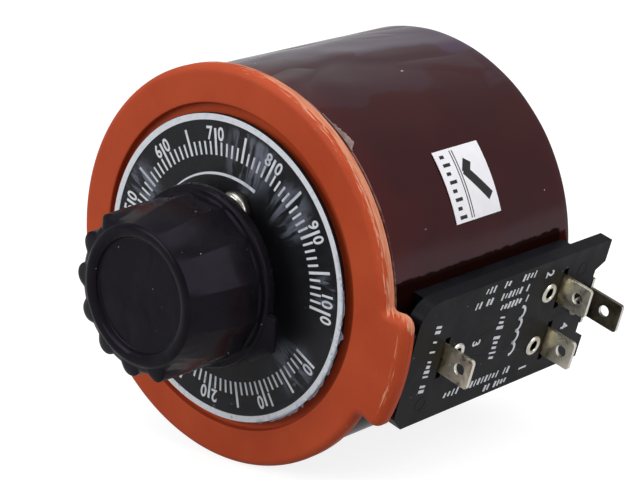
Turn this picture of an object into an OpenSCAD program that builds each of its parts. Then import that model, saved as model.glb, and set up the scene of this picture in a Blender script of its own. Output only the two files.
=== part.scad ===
// Panel-mount variable autotransformer, in millimetres.
// The shaft lies along Y: the knob faces -Y, the brush gear +Y, and +Z is up.
// The origin is on the shaft axis, in the plane of the front ring's face.
// Depths run along +Y from that face. Angles are seen from the front, counterclockwise from +X.

/* [Base moulding] */
// How far the front ring stands out past the wrap
ring_lip = 1; // [0.5:0.1:4]
// Thickness of the front ring
ring_t = 3.4; // [2.6:0.1:7]
// Rounding of the ring's front edge
ring_edge = 1.6; // [0.4:0.1:2.5]
// Width of the front ring's flat face and rounded edge
ring_w = 7.5; // [4:0.1:8]
// Width of the groove between dial and ring
groove_w = 1.8; // [1.2:0.1:4]
// Depth of the groove between dial and ring
groove_depth = 2.6; // [2:0.1:6]
// Thickness of the floor behind the groove
floor_t = 4.5; // [3:0.1:8]
// Wall of the hub tube between the bushes
hub_wall = 6.5; // [5.8:0.1:7]
// How far the ear stands out past the ring
ear_reach = 5.2; // [4.8:0.1:9]
// How far the ear's rear lies in front of the ring's rear
ear_step = 0.3; // [0.2:0.1:1.5]
// Half of the angle that the ear takes in
ear_half_angle = 15; // [12:0.5:20]
// Rounding of the ear's outer corners
ear_corner_r = 2.4; // [0.5:0.1:4]

/* [Dial] */
// Radius of the dial plate
dial_r = 31; // [27:0.1:32]
// Thickness of the dial plate
dial_t = 0.8; // [0.5:0.1:1.2]
// How far the dial's face stands out past the ring's face
dial_proud = 0.65; // [0.3:0.05:1.2]
// How far the dial overhangs the raised seat behind it
dial_overhang = 1.5; // [0.5:0.1:3]
// Thickness of the clear film on the dial
film_t = 0.15; // [0.1:0.05:0.3]
// Distance of the dial screws from the shaft axis
dial_screw_pitch_r = 13.3; // [13:0.1:16]
// Angle of the first dial screw
dial_screw_angle = 73; // [0:1:119]
// Radius of the dial screws' thread
dial_screw_r = 2; // [1.5:0.1:2.5]
// Radius of the dial screws' heads
dial_screw_head_r = 3.9; // [3.5:0.1:4.4]
// Height of the dial screws' heads
dial_screw_head_h = 2.3; // [1.5:0.1:2.8]
// Length of the dial screws under the head
dial_screw_l = 6.5; // [5:0.1:7.5]
// Wall of the threaded inserts
insert_wall = 0.8; // [0.5:0.1:1]
// Length of the threaded inserts
insert_l = 5.5; // [4:0.1:6.3]

/* [Knob] */
// Gap between the dial screws' heads and the knob
knob_gap = 2.2; // [0.4:0.1:3]
// Length of the knob, from its flange to its front
knob_l = 19.2; // [18:0.1:30]
// Radius of the knob's body at the front
knob_front_r = 15.3; // [14.5:0.1:15.6]
// Radius of the knob's body at the flange
knob_base_r = 16.5; // [16.2:0.1:18]
// Number of grip lobes
lobe_count = 13; // [8:1:15]
// Radius of one grip lobe
lobe_r = 2.5; // [1.5:0.1:2.6]
// How far the lobes stand out at the front
lobe_proud = 1.4; // [0.3:0.05:1.6]
// Radius of the sunk disc in the knob's front
knob_face_r = 11.3; // [8:0.1:12.5]
// Depth of the sunk disc
knob_face_depth = 1.2; // [0.5:0.1:3]
// Radius of the knob's flange
flange_r = 18.2; // [18.2:0.1:20]
// Thickness of the knob's flange
flange_t = 2.5; // [2.5:0.1:5]
// Distance of the pointer's tip from the shaft axis
pointer_r = 21.8; // [20.5:0.1:28]
// Width of the pointer at its root
pointer_w = 12; // [4:0.1:14]
// Thickness of the pointer
pointer_t = 2; // [1:0.1:2.4]
// Wall of the knob's brass insert
knob_insert_wall = 3; // [2:0.1:4]
// Length of the knob's brass insert
knob_insert_l = 14; // [10:0.1:16]
// How far the insert lies inside the knob's rear face
knob_insert_sink = 1; // [0.5:0.1:2]
// Radius of the knob's grub screw
knob_grub_r = 2; // [1.2:0.1:2.2]
// Length of the knob's grub screw
knob_grub_l = 6; // [4:0.1:8]

/* [Shaft and bearings] */
// Radius of the shaft
shaft_r = 4; // [3:0.1:4.4]
// How far the shaft stands out past the arm hub
shaft_tail = 1; // [0:0.1:5]
// Depth of the flats under the grub screws
shaft_flat = 0.6; // [0.3:0.1:1]
// Depth of the groove for the retaining clip
clip_groove = 0.7; // [0.4:0.1:1]
// Width of the retaining clip
clip_w = 3; // [2:0.1:3.2]
// Thickness of the retaining clip
clip_t = 0.8; // [0.5:0.1:1]
// Wall of the bearing bushes
bush_wall = 2; // [1.5:0.1:3]
// Length of each bush's barrel
bush_l = 14; // [8:0.5:24]
// How far each bush's flange stands out past its barrel
bush_flange_w = 1.4; // [0.8:0.1:1.6]
// Thickness of each bush's flange
bush_flange_t = 1.4; // [0.8:0.1:1.5]

/* [Core and winding] */
// Outer radius of the core
core_r = 36; // [34:0.5:46]
// Radial depth of the core
core_w = 19; // [15:0.5:19]
// Length of the core along the shaft
core_l = 47; // [30:0.1:80]
// Wall of the two halves of the core case
case_wall = 1.2; // [0.8:0.1:2]
// Build of the winding on the outside and the ends
build_out = 1.1; // [0.6:0.1:2]
// Build of the winding in the bore
build_in = 2; // [1:0.1:2.2]
// Number of modelled groups of turns
turn_groups = 90; // [40:1:120]
// Share of the pitch that a group of turns fills
turn_fill = 0.74; // [0.4:0.02:0.9]
// Angle around the shaft that holds no turns
winding_gap = 18; // [14:0.5:20]
// Thickness of the ring under the winding
seat_t = 0.8; // [0.4:0.1:2]
// Thickness of the liner in the winding's bore
liner_t = 0.7; // [0.4:0.1:0.8]
// Thickness of the outer wrap
wrap_t = 0.8; // [0.3:0.1:1]
// Gap between the ring and the wrap's front edge
wrap_gap = 2.5; // [1:0.1:3]
// How far the wrap stands out past the rear of the winding
wrap_rear = 1.1; // [0.8:0.1:1.3]
// Width of the wrap's turned-in rear rim
wrap_rim_w = 3; // [1.5:0.1:4]

/* [Clamp and collector] */
// How far the clamp plate reaches past the winding's bore
clamp_reach = 7.3; // [5:0.1:7.5]
// Thickness of the clamp plate
clamp_t = 2.5; // [2:0.1:4]
// Radius of the clamp screws' thread
clamp_screw_r = 1.25; // [1:0.05:1.25]
// Radius of the clamp screws' sunk heads
clamp_screw_head_r = 2.3; // [1.9:0.1:2.3]
// Length of the clamp screws
clamp_screw_l = 12; // [8:0.5:20]
// Width of the collector ring
collector_w = 3.4; // [2:0.1:4]
// Thickness of the collector ring
collector_t = 0.8; // [0.5:0.1:1]
// Width of the collector's tail
collector_tail_w = 3; // [2:0.1:3.4]
// Radius of the stop pin
stop_pin_r = 1; // [0.6:0.05:1]
// Height of the stop pin over the clamp plate
stop_pin_h = 2.4; // [1.8:0.1:2.5]

/* [Brush gear] */
// Turn of the knob from end to end
travel = 335; // [300:1:336]
// Angle of the pointer and the brush at zero
zero_angle = -32.2; // [-40:0.1:-20]
// Radius of the brush's middle on the track
brush_track_r = 29; // [27:0.1:30]
// Width of the brush across the turns' direction
brush_w = 3; // [2:0.1:3.6]
// Length of the brush along a turn
brush_l = 5; // [3:0.1:5.4]
// Wall of the brush holder
holder_wall = 1; // [0.6:0.1:1.2]
// Height of the brush holder
holder_h = 4; // [2.5:0.1:4.4]
// Distance from the clamp plate to the brush arm
arm_clear = 4.2; // [3.6:0.1:8]
// Thickness of the brush arm
arm_t = 2; // [1.2:0.1:3]
// Radius of the round middle of the brush arm
arm_disc_r = 17; // [14:0.1:19]
// Width of the brush arm outside its round middle
arm_w = 9; // [8:0.1:12]
// How far the arm reaches past the brush
arm_end = 3; // [2:0.1:4]
// Wall of the arm hub
hub_collar_wall = 2.5; // [2:0.1:2.8]
// Radius of the hub's grub screw
hub_grub_r = 1.5; // [1:0.1:1.8]
// Length of the hub's grub screw
hub_grub_l = 3.6; // [3:0.1:5]
// Length of the arm hub behind the brush arm
hub_tail = 5; // [4.6:0.1:8]
// Thickness of the leaf springs
leaf_t = 0.4; // [0.2:0.05:0.6]
// Width of the leaf springs
leaf_w = 3.6; // [2:0.1:4.4]
// How far the brush stands out behind the brush arm
brush_tail = 1.4; // [1:0.1:3]
// Radius of the rivets
rivet_r = 0.9; // [0.6:0.05:1]
// Height of the rivets' heads
rivet_head_h = 0.6; // [0.4:0.1:0.8]

/* [Terminal board] */
// Angle of the terminal board around the shaft
board_angle = -17; // [-19:0.1:-15]
// Gap between the wrap and the back of the board
board_gap = 1.7; // [1.6:0.1:4]
// Thickness of the board
board_t = 3; // [2:0.1:4]
// Width of the board
board_w = 28; // [26:0.1:32]
// How far the board stands out behind the wrap
board_rear = 4.7; // [4:0.1:8]
// Gap between the ear and the board
board_front_gap = 1.5; // [1:0.1:4]
// Rounding of the board's upper front corner
board_corner_r = 5; // [1:0.1:6]
// Cut of the board's lower front corner
board_cut = 3; // [1:0.1:6]
// Depth of the notch in the board's rear edge
notch_depth = 2.9; // [2:0.1:4]
// Width of the notch
notch_w = 15; // [12:0.1:18]
// Width of the tongue that plugs into the ear
tongue_w = 16; // [10:0.1:20]
// Thickness of the tongue
tongue_t = 1.8; // [1:0.1:2]
// Length of the tongue inside the ear
tongue_l = 1.8; // [1.5:0.1:3]
// Distance of the board's back ribs from its middle
rib_offset = 11.5; // [9:0.1:12.5]
// Thickness of the board's back ribs
rib_t = 2; // [1:0.1:2.4]

/* [Terminals] */
// Distance from the board's front edge to the front blade
front_blade_inset = 10.6; // [8:0.1:20]
// Distance from the board's rear edge to the pair of blades
pair_inset = 14.2; // [13:0.1:20]
// Distance between the two blades of the pair
pair_spacing = 12.3; // [10.5:0.1:14]
// Gap between the notch and the rear blade
edge_blade_gap = 0.5; // [0.3:0.1:2.4]
// Width of a blade
blade_w = 6.3; // [4.8:0.1:6.4]
// Thickness of a blade
blade_t = 0.8; // [0.5:0.1:1]
// Length of a blade in front of the board
blade_l = 7.1; // [6:0.1:12]
// Length of the rear blade in front of the board
edge_blade_l = 8.3; // [6:0.1:12]
// Distance from the board to the hole in a blade
blade_hole_at = 4.4; // [3:0.1:4.6]
// Radius of the hole in a blade
blade_hole_r = 1.2; // [0.5:0.05:1.3]
// Rounding of a blade's end corners
blade_corner_r = 0.7; // [0.3:0.05:1.5]
// Length of a terminal's foot behind the board
foot_l = 8.2; // [6.6:0.1:10]
// Width of the rear terminal's foot and shoulders
edge_foot_w = 10.5; // [6.4:0.1:12]
// Distance from a blade to its eyelet
eyelet_offset = 4.2; // [3.6:0.1:4.8]
// Outer radius of an eyelet's barrel
eyelet_r = 1.5; // [1.2:0.05:1.6]
// Wall of an eyelet's barrel
eyelet_wall = 0.4; // [0.2:0.05:0.6]
// Width of an eyelet's rolled flange
eyelet_flange_w = 0.65; // [0.4:0.05:0.8]
// Height of an eyelet's rolled flange
eyelet_flange_h = 0.5; // [0.3:0.05:0.8]
// Radius of the winding's lead wires
lead_r = 0.5; // [0.3:0.05:0.7]

/* [Fits] */
// Clearance of a seated piece
seat_clear = 0.02; // [0.01:0.01:0.05]
// Radial clearance of the shaft in its bushes
run_clear = 0.03; // [0.01:0.01:0.08]
// Clearance around a loose insulating piece
loose_clear = 0.2; // [0.1:0.05:0.3]
// Clearance between pieces that pass each other
pass_clear = 0.35; // [0.3:0.05:0.6]
// Gap under the brush and the sliding contact
slide_gap = 0.05; // [0.02:0.01:0.1]

/* [Hidden] */
$fn = 64;
EPS = 0.01;
FULL_TURN = 360;

// Radii of the winding, from the core outwards and inwards
case_r = core_r + seat_clear + case_wall;
case_bore_r = core_r - core_w - seat_clear - case_wall;
winding_r = case_r + build_out;
winding_bore_r = case_bore_r - build_in;
wrap_in_r = winding_r + loose_clear;
wrap_r = wrap_in_r + wrap_t;

// Radii around the shaft: the hub tube fits the winding's bore, and its ends hold the bushes
liner_r = winding_bore_r - loose_clear - liner_t;
hub_r = liner_r - loose_clear;
hub_bore_r = hub_r - hub_wall;
bush_r = shaft_r + bush_wall;
bush_seat_r = bush_r + seat_clear;
bush_flange_r = bush_r + bush_flange_w;
centre_hole_r = bush_flange_r + loose_clear;
clip_in_r = shaft_r - clip_groove;
clip_r = clip_in_r + clip_w;
knob_bore_r = shaft_r + seat_clear;
knob_insert_r = knob_bore_r + knob_insert_wall;
collar_r = knob_bore_r + hub_collar_wall;

// Radii of the base moulding: the ring's front follows the dial, its rear the wrap
recess_r = dial_r + groove_w;
ring_front_r = recess_r + ring_w;
ring_r = wrap_r + ring_lip;
spigot_r = wrap_in_r - seat_clear;
platform_r = dial_r - dial_overhang;
ear_r = ring_r + ear_reach;
ear_root_r = (recess_r + ring_front_r - ring_edge) / 2;

// Radii of the clamp plate and its collector
clamp_r = winding_bore_r + clamp_reach;
clamp_screw_pitch_r = (centre_hole_r + hub_r) / 2;
collector_in_r = clamp_screw_pitch_r + clamp_screw_head_r + loose_clear;
collector_r = collector_in_r + collector_w;

// Depths, from the front face to the rear
dial_front = -dial_proud;
film_front = dial_front - film_t;
dial_seat = dial_front + dial_t;
base_rear = groove_depth + floor_t;
seat_rear = base_rear + seat_t;
case_front = seat_rear + build_out;
core_front = case_front + case_wall + seat_clear;
core_rear = core_front + core_l;
case_rear = core_rear + seat_clear + case_wall;
case_split = (case_front + case_rear) / 2;
track = case_rear + build_out;
hub_end = track - pass_clear;
wrap_front = ring_t + wrap_gap;
wrap_end = track + wrap_rear;
clamp_rear = track + clamp_t;
rear_flange = hub_end + bush_flange_t;
collar_front = rear_flange + pass_clear;
collector_rear = clamp_rear + collector_t;
arm_front = clamp_rear + arm_clear;
arm_rear = arm_front + arm_t;
collar_rear = arm_rear + hub_tail;
shaft_rear = collar_rear + shaft_tail;
holder_front = arm_front - holder_h;
brush_front = track + slide_gap;
brush_rear = arm_rear + brush_tail;
front_flange = dial_seat - bush_flange_t;
clip_rear = front_flange - pass_clear;
clip_front = clip_rear - clip_t;
screw_head_front = film_front - dial_screw_head_h;
knob_rear = screw_head_front - knob_gap;
knob_front = knob_rear - knob_l;
knob_step = knob_rear - flange_t;
knob_face = knob_front + knob_face_depth;
knob_insert_rear = knob_rear - knob_insert_sink;
knob_insert_front = knob_insert_rear - knob_insert_l;
shaft_front = knob_insert_front;
knob_grub_depth = (knob_insert_front + knob_insert_rear) / 2;
hub_grub_depth = arm_rear + hub_tail / 2;

// Angles around the shaft
gap_angle = zero_angle + (FULL_TURN - travel) / 2;
turn_pitch = (FULL_TURN - winding_gap) / turn_groups;
half_turn = FULL_TURN / 2;
screw_step = FULL_TURN / 3;

// The stop: a finger on the hub meets a pin on the clamp plate at both ends of the travel
stop_r = (collar_r + loose_clear + collector_in_r) / 2;
stop_reach = stop_r * sin((FULL_TURN - travel) / 2);
stop_finger_w = 2 * (stop_reach - stop_pin_r - pass_clear);
stop_finger_front = clamp_rear + pass_clear;
stop_finger_rear = clamp_rear + stop_pin_h;

// The terminal board, in its own frame: X outwards, Y along the shaft, Z around it
board_in = wrap_r + board_gap;
board_out = board_in + board_t;
board_front = ring_t + board_front_gap;
board_end = wrap_end + board_rear;
tongue_mid = (ring_r + ear_r) / 2;
tongue_in = tongue_mid - tongue_t / 2;
foot_in = board_in - blade_t;
slot_t = blade_t + 2 * pass_clear;
slot_w = blade_w + 8 * pass_clear;
edge_blade = board_end - notch_depth + edge_blade_gap + blade_t / 2;
pair_blade = board_end - pair_inset;
front_blade = board_front + front_blade_inset;
lead_in = wrap_in_r - pass_clear;

// One entry per terminal: depth, place across the board, which way its foot runs, how wide the foot is,
// how far the eyelet lies from the blade and how long the blade is
TERMINALS = [
    [pair_blade, -pair_spacing / 2, -1, blade_w, eyelet_offset, blade_l],
    [pair_blade, pair_spacing / 2, -1, blade_w, eyelet_offset, blade_l],
    [front_blade, 0, 1, blade_w, eyelet_offset, blade_l],
    [edge_blade, 0, -1, edge_foot_w, eyelet_offset + edge_blade_gap / 2, edge_blade_l]
];

// Points of an arc about [cx, cy], from angle a to angle b
function arc(cx, cy, r, a, b, n = 8) =
    [for (i = [0 : n]) [cx + r * cos(a + (b - a) * i / n), cy + r * sin(a + (b - a) * i / n)]];

// Turns children about the shaft, so that +X points at an angle seen from the front
module at_angle(angle) rotate([0, -angle, 0]) children();

// Revolves an outline of [radius, depth] points about the shaft
module revolved(points, angle = FULL_TURN)
    rotate([90, 0, 0]) rotate_extrude(angle = angle) polygon([for (p = points) [p[0], -p[1]]]);

// A cylinder along the shaft's direction between two depths
module rod(r, front, rear) translate([0, rear, 0]) rotate([90, 0, 0]) cylinder(r = r, h = rear - front);

// A tube along the shaft's direction between two depths
module tube(r_out, r_in, front, rear)
    revolved([[r_in, front], [r_out, front], [r_out, rear], [r_in, rear]]);

// A block given by its lowest and highest corners
module block(low, high) translate(low) cube(high - low);

// A cylinder along X, at a depth, between two distances from the shaft
module radial_rod(r, depth, from, to)
    translate([from, depth, 0]) rotate([0, 90, 0]) cylinder(r = r, h = to - from);

// Extrudes a [depth, across] outline outwards, between two distances from the shaft
module outward(from, to) translate([from, 0, 0]) rotate([90, 0, 90]) linear_extrude(to - from) children();

// Extrudes a [distance, across] outline along the shaft, between two depths
module lengthwise(front, rear)
    translate([0, rear, 0]) rotate([90, 0, 0]) linear_extrude(rear - front) children();

// Extrudes a [distance, depth] outline by a width across
module crosswise(w) translate([0, 0, -w / 2]) linear_extrude(w) children();

// Places children at the three dial screws
module at_dial_screws()
    for (i = [0 : 2]) at_angle(dial_screw_angle + i * screw_step)
        translate([dial_screw_pitch_r, 0, 0]) children();

// Places children at the three clamp screws, clear of the stop pin
module at_clamp_screws()
    for (i = [0 : 2]) at_angle(gap_angle + i * screw_step)
        translate([clamp_screw_pitch_r, 0, 0]) children();

// The ear's outline, with its outer corners rounded
module ear_outline() {
    inner = ear_r - ear_corner_r;
    turn = asin(ear_corner_r / inner);
    side = ear_half_angle - turn;
    polygon(concat(
        [[0, 0]],
        arc(inner * cos(side), -inner * sin(side), ear_corner_r, -ear_half_angle - 90 + 2 * turn, -side),
        arc(0, 0, ear_r, -side, side, 24),
        arc(inner * cos(side), inner * sin(side), ear_corner_r, side, ear_half_angle + 90 - 2 * turn)));
}

// Ring, dial seat, hub tube and ear, moulded in one piece
module base_moulding() color("orangered") difference() {
    union() {
        revolved(concat(
            [[bush_seat_r, dial_seat], [platform_r, dial_seat], [platform_r, groove_depth],
                [recess_r, groove_depth], [recess_r, 0]],
            arc(ring_front_r - ring_edge, ring_edge, ring_edge, -90, 0),
            [[ring_r, ring_t], [spigot_r, ring_t], [spigot_r, base_rear], [hub_r, base_rear],
                [hub_r, hub_end], [bush_seat_r, hub_end], [bush_seat_r, hub_end - bush_l],
                [hub_bore_r, hub_end - bush_l], [hub_bore_r, dial_seat + bush_l],
                [bush_seat_r, dial_seat + bush_l]]));
        at_angle(board_angle) difference() {
            lengthwise(0, ring_t - ear_step) ear_outline();
            rod(ear_root_r, -EPS, ring_t + EPS);
        }
    }
    at_dial_screws() rod(dial_screw_r + insert_wall + seat_clear, dial_seat - EPS, base_rear - pass_clear);
    at_clamp_screws() rod(clamp_screw_r + seat_clear, track - clamp_screw_l, track);
    at_angle(board_angle) tongue(seat_clear);
}

// Threaded brass inserts for the dial screws
module screw_inserts() color("gold") at_dial_screws()
    tube(dial_screw_r + insert_wall, dial_screw_r + seat_clear, dial_seat, dial_seat + insert_l);

// Round dial plate with its bearing and screw holes
module dial_plate() color("black") dial_disc(dial_r, dial_front, dial_seat);

// Clear protective film on the dial
module dial_film() color("white", 0.3) dial_disc(dial_r - loose_clear, film_front, dial_front);

// A disc with the holes that dial and film share
module dial_disc(r, front, rear) difference() {
    rod(r, front, rear);
    rod(centre_hole_r, front - EPS, rear + EPS);
    at_dial_screws() rod(dial_screw_r + loose_clear, front - EPS, rear + EPS);
}

// Pan-head screws that hold the dial, and a panel in its place
module dial_screws() color("silver") at_dial_screws() {
    dome = dial_screw_head_h / 2;
    revolved(concat(
        [[0, screw_head_front]],
        arc(dial_screw_head_r - dome, screw_head_front + dome, dome, -90, 0),
        [[dial_screw_head_r, film_front], [dial_screw_r, film_front],
            [dial_screw_r, film_front + dial_screw_l], [0, film_front + dial_screw_l]]));
}

// A flanged bush whose flange lies against a hub face at the given depth
module bush(face, side) color("goldenrod") {
    front = face - side * bush_flange_t;
    end = face + side * bush_l;
    revolved([[shaft_r + run_clear, front], [bush_flange_r, front], [bush_flange_r, face],
        [bush_r, face], [bush_r, end], [shaft_r + run_clear, end]]);
}

module front_bush() bush(dial_seat, 1);

module rear_bush() bush(hub_end, -1);

// Strip-wound steel core
module core() color("dimgray") tube(core_r, core_r - core_w, core_front, core_rear);

// One half of the insulating case around the core, open towards the split
module case_half(end, side) color("ivory") {
    inner_end = end + side * case_wall;
    revolved([[case_bore_r, end], [case_r, end], [case_r, case_split], [case_r - case_wall, case_split],
        [case_r - case_wall, inner_end], [case_bore_r + case_wall, inner_end],
        [case_bore_r + case_wall, case_split], [case_bore_r, case_split]]);
}

module core_case_front() case_half(case_front, 1);

module core_case_rear() case_half(case_rear, -1);

// Insulating ring between the base and the winding
module core_seat() color("peru") tube(winding_r, liner_r, base_rear, seat_rear);

// Insulating liner between the hub tube and the winding's bore
module bore_liner() color("peru") tube(liner_r + liner_t, liner_r, seat_rear, hub_end);

// Groups of turns, each a closed loop around the core, with a gap that faces the board
module winding() color("chocolate") {
    edge = build_out / 2;
    for (i = [0 : turn_groups - 1])
        at_angle(gap_angle + winding_gap / 2 + i * turn_pitch)
            rotate([90, 0, 0]) rotate_extrude(angle = turn_pitch * turn_fill) difference() {
                polygon([[winding_bore_r, -seat_rear - edge], [winding_bore_r + edge, -seat_rear],
                    [winding_r - edge, -seat_rear], [winding_r, -seat_rear - edge],
                    [winding_r, edge - track], [winding_r - edge, -track],
                    [winding_bore_r + edge, -track], [winding_bore_r, edge - track]]);
                translate([case_bore_r - seat_clear, -case_rear - seat_clear])
                    square([case_r - case_bore_r + 2 * seat_clear, case_rear - case_front + 2 * seat_clear]);
            }
}

// Glossy film wrapped around the winding, with its rear edge turned in
module wrap() color("maroon") difference() {
    bend = wrap_end - track;
    revolved(concat(
        [[wrap_in_r, wrap_front], [wrap_r, wrap_front]],
        arc(wrap_r - bend, wrap_end - bend, bend, 0, 90),
        [[wrap_r - wrap_rim_w, wrap_end], [wrap_r - wrap_rim_w, wrap_end - wrap_t]],
        arc(wrap_r - bend, wrap_end - bend, bend - wrap_t, 90, 0)));
    at_angle(board_angle) for (t = [0 : 2])
        translate([0, 0, TERMINALS[t][1]])
            radial_rod(lead_r + pass_clear, foot_depth(t), lead_in - EPS, wrap_r + EPS);
}

// Depth at which a terminal's foot takes its lead
function foot_depth(t) = TERMINALS[t][0] + TERMINALS[t][2] * (foot_l - 2 * lead_r);

// Insulating plate that clamps the winding and carries the collector
module clamp_plate() color("saddlebrown") difference() {
    tube(clamp_r, centre_hole_r, track, clamp_rear);
    at_clamp_screws() {
        rod(clamp_screw_r + loose_clear, track - EPS, clamp_rear);
        countersink(loose_clear);
    }
    at_stop_pin() rod(stop_pin_r + seat_clear, track - EPS, clamp_rear + EPS);
}

// The cone of a sunk screw head, with room around it
module countersink(room) {
    cone_h = clamp_screw_head_r - clamp_screw_r;
    revolved([[0, clamp_rear - cone_h], [clamp_screw_r + room, clamp_rear - cone_h],
        [clamp_screw_head_r + room, clamp_rear], [0, clamp_rear]]);
}

// Sunk-head screws from the clamp plate into the hub tube
module clamp_screws() color("silver") at_clamp_screws() {
    rod(clamp_screw_r, clamp_rear - clamp_screw_l, clamp_rear - EPS);
    countersink(0);
}

// Brass ring that the sliding contact runs on, with a tail out to the rear terminal
module collector() color("gold") {
    tube(collector_r, collector_in_r, clamp_rear, collector_rear);
    at_angle(gap_angle)
        block([collector_r - collector_w / 2, clamp_rear, -collector_tail_w / 2],
            [tail_end, collector_rear, collector_tail_w / 2]);
}

// Distance at which the collector's tail meets the foot of the rear terminal
tail_end = foot_in / cos(gap_angle - board_angle)
    - tan(abs(gap_angle - board_angle)) * collector_tail_w / 2;

// Places children at the stop pin, opposite the middle of the gap in the travel
module at_stop_pin() at_angle(gap_angle + half_turn) translate([stop_r, 0, 0]) children();

module stop_pin() color("silver") at_stop_pin() rod(stop_pin_r, track, clamp_rear + stop_pin_h);

// The tongue that plugs the board into the ear, with room around it
module tongue(room)
    block([tongue_in - room, ring_t - tongue_l - room, -tongue_w / 2 - room],
        [tongue_in + tongue_t + room, board_front + EPS, tongue_w / 2 + room]);

// The board's outline: one round and one cut front corner, and a notch in the rear edge
module board_outline() {
    half = board_w / 2;
    notch_half = notch_w / 2;
    notch_floor = board_end - notch_depth;
    polygon(concat(
        [[board_front, board_cut - half], [board_front + board_cut, -half], [board_end, -half],
            [board_end, -notch_half - notch_depth / 2], [notch_floor, -notch_half],
            [notch_floor, notch_half], [board_end, notch_half + notch_depth / 2], [board_end, half]],
        arc(board_front + board_corner_r, half - board_corner_r, board_corner_r, 90, 180)));
}

// Moulded board with slots for the blades, and two ribs that lie along the wrap
module terminal_board() color("dimgray") at_angle(board_angle) difference() {
    rib_in = wrap_r * cos(asin((rib_offset + rib_t / 2) / wrap_r));
    union() {
        outward(board_in, board_out) board_outline();
        tongue(0);
        for (side = [-1, 1]) translate([0, 0, side * rib_offset]) difference() {
            block([rib_in, board_front + board_corner_r, -rib_t / 2],
                [board_in + EPS, board_end - notch_depth - board_corner_r, rib_t / 2]);
            translate([0, 0, -side * rib_offset]) rod(wrap_r + seat_clear, 0, board_end);
        }
    }
    for (t = [0 : 2]) block(
        [board_in - EPS, TERMINALS[t][0] - slot_t / 2, TERMINALS[t][1] - slot_w / 2],
        [board_out + EPS, TERMINALS[t][0] + slot_t / 2, TERMINALS[t][1] + slot_w / 2]);
    at_eyelets(0) rotate([0, 90, 0]) cylinder(r = eyelet_r + seat_clear, h = board_out + board_t);
}

// Places children at each eyelet, at a distance from the shaft
module at_eyelets(from) for (t = TERMINALS) translate([from, t[0] + t[2] * t[4], t[1]]) children();

// A blade that passes through the board, with a foot behind the board for its eyelet. A foot that is wider
// than the blade also gives it shoulders
module terminal(place) color("silver") at_angle(board_angle)
    translate([0, place[0], place[1]]) difference() {
        corner_x = board_out + place[5] - blade_corner_r;
        corner_z = blade_w / 2 - blade_corner_r;
        union() {
            translate([0, blade_t / 2, 0]) rotate([90, 0, 0]) linear_extrude(blade_t) polygon(concat(
                [[foot_in, -blade_w / 2]],
                arc(corner_x, -corner_z, blade_corner_r, -90, 0, 4),
                arc(corner_x, corner_z, blade_corner_r, 0, 90, 4),
                [[foot_in, blade_w / 2]]));
            block([foot_in, min(0, place[2] * foot_l), -place[3] / 2],
                [board_in, max(0, place[2] * foot_l), place[3] / 2]);
            if (place[3] > blade_w)
                block([foot_in, -blade_t / 2, -place[3] / 2], [board_out, blade_t / 2, place[3] / 2]);
        }
        translate([board_out + blade_hole_at, 0, 0]) rod(blade_hole_r, -blade_t, blade_t);
        radial_rod(eyelet_r + seat_clear, place[2] * place[4], foot_in - EPS, board_in + EPS);
    }

module terminal_1() terminal(TERMINALS[0]);

module terminal_2() terminal(TERMINALS[1]);

module terminal_3() terminal(TERMINALS[2]);

module terminal_4() terminal(TERMINALS[3]);

// Hollow rivets that hold the terminals' feet to the board
module eyelets() color("silver") at_angle(board_angle) at_eyelets(0) rotate([0, 90, 0]) rotate_extrude() {
    bore = eyelet_r - eyelet_wall;
    flange = eyelet_r + eyelet_flange_w;
    polygon(concat(
        [[bore, foot_in - eyelet_flange_h], [flange, foot_in - eyelet_flange_h], [flange, foot_in],
            [eyelet_r, foot_in], [eyelet_r, board_out], [flange, board_out]],
        arc(flange - eyelet_flange_h, board_out, eyelet_flange_h, 0, 90),
        [[bore, board_out + eyelet_flange_h]]));
}

// Ends and tap of the winding, brought out through the wrap to the terminals' feet
module tap_leads() color("chocolate") at_angle(board_angle) for (t = [0 : 2])
    translate([0, 0, TERMINALS[t][1]]) radial_rod(lead_r, foot_depth(t), lead_in, foot_in);

// Steel shaft with a clip groove and a flat under each grub screw
module shaft() color("lightgray") difference() {
    rod(shaft_r, shaft_front, shaft_rear);
    tube(shaft_r + EPS, clip_in_r, clip_front - seat_clear, clip_rear + seat_clear);
    at_angle(zero_angle + half_turn) {
        block([shaft_r - shaft_flat, shaft_front - EPS, -shaft_r],
            [shaft_r + EPS, knob_grub_depth + knob_grub_r + pass_clear, shaft_r]);
        block([shaft_r - shaft_flat, hub_grub_depth - hub_grub_r - pass_clear, -shaft_r],
            [shaft_r + EPS, shaft_rear + EPS, shaft_r]);
    }
}

// Open spring clip in the shaft's groove, in front of the front bush
module retaining_clip() color("silver") at_angle(zero_angle) difference() {
    tube(clip_r, clip_in_r + seat_clear, clip_front, clip_rear);
    block([0, clip_front - EPS, -clip_in_r], [clip_r + EPS, clip_rear + EPS, clip_in_r]);
}

// Knob with grip lobes that fade towards its flange, a sunk front disc and a pointer
module knob() color("black") difference() {
    rim = knob_front_r - knob_face_r;
    roll = rim / 3;
    union() {
        revolved(concat(
            [[0, knob_face], [knob_face_r, knob_face]],
            arc(knob_face_r + roll, knob_front + roll, roll, 180, 270, 4),
            arc(knob_front_r - roll, knob_front + roll, roll, -90, 0, 4),
            [[knob_base_r, knob_step]],
            arc(flange_r - flange_t / 4, knob_step + flange_t / 4, flange_t / 4, -90, 0, 4),
            [[flange_r, knob_rear], [0, knob_rear]]));
        for (i = [0 : lobe_count - 1])
            at_angle(zero_angle + i * FULL_TURN / lobe_count) lobe(roll);
        at_angle(zero_angle) pointer();
    }
    rod(knob_insert_r + seat_clear, knob_insert_front - seat_clear, knob_rear + EPS);
    at_angle(zero_angle + half_turn)
        radial_rod(knob_grub_r + loose_clear, knob_grub_depth, 0, knob_base_r + lobe_proud);
}

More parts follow.
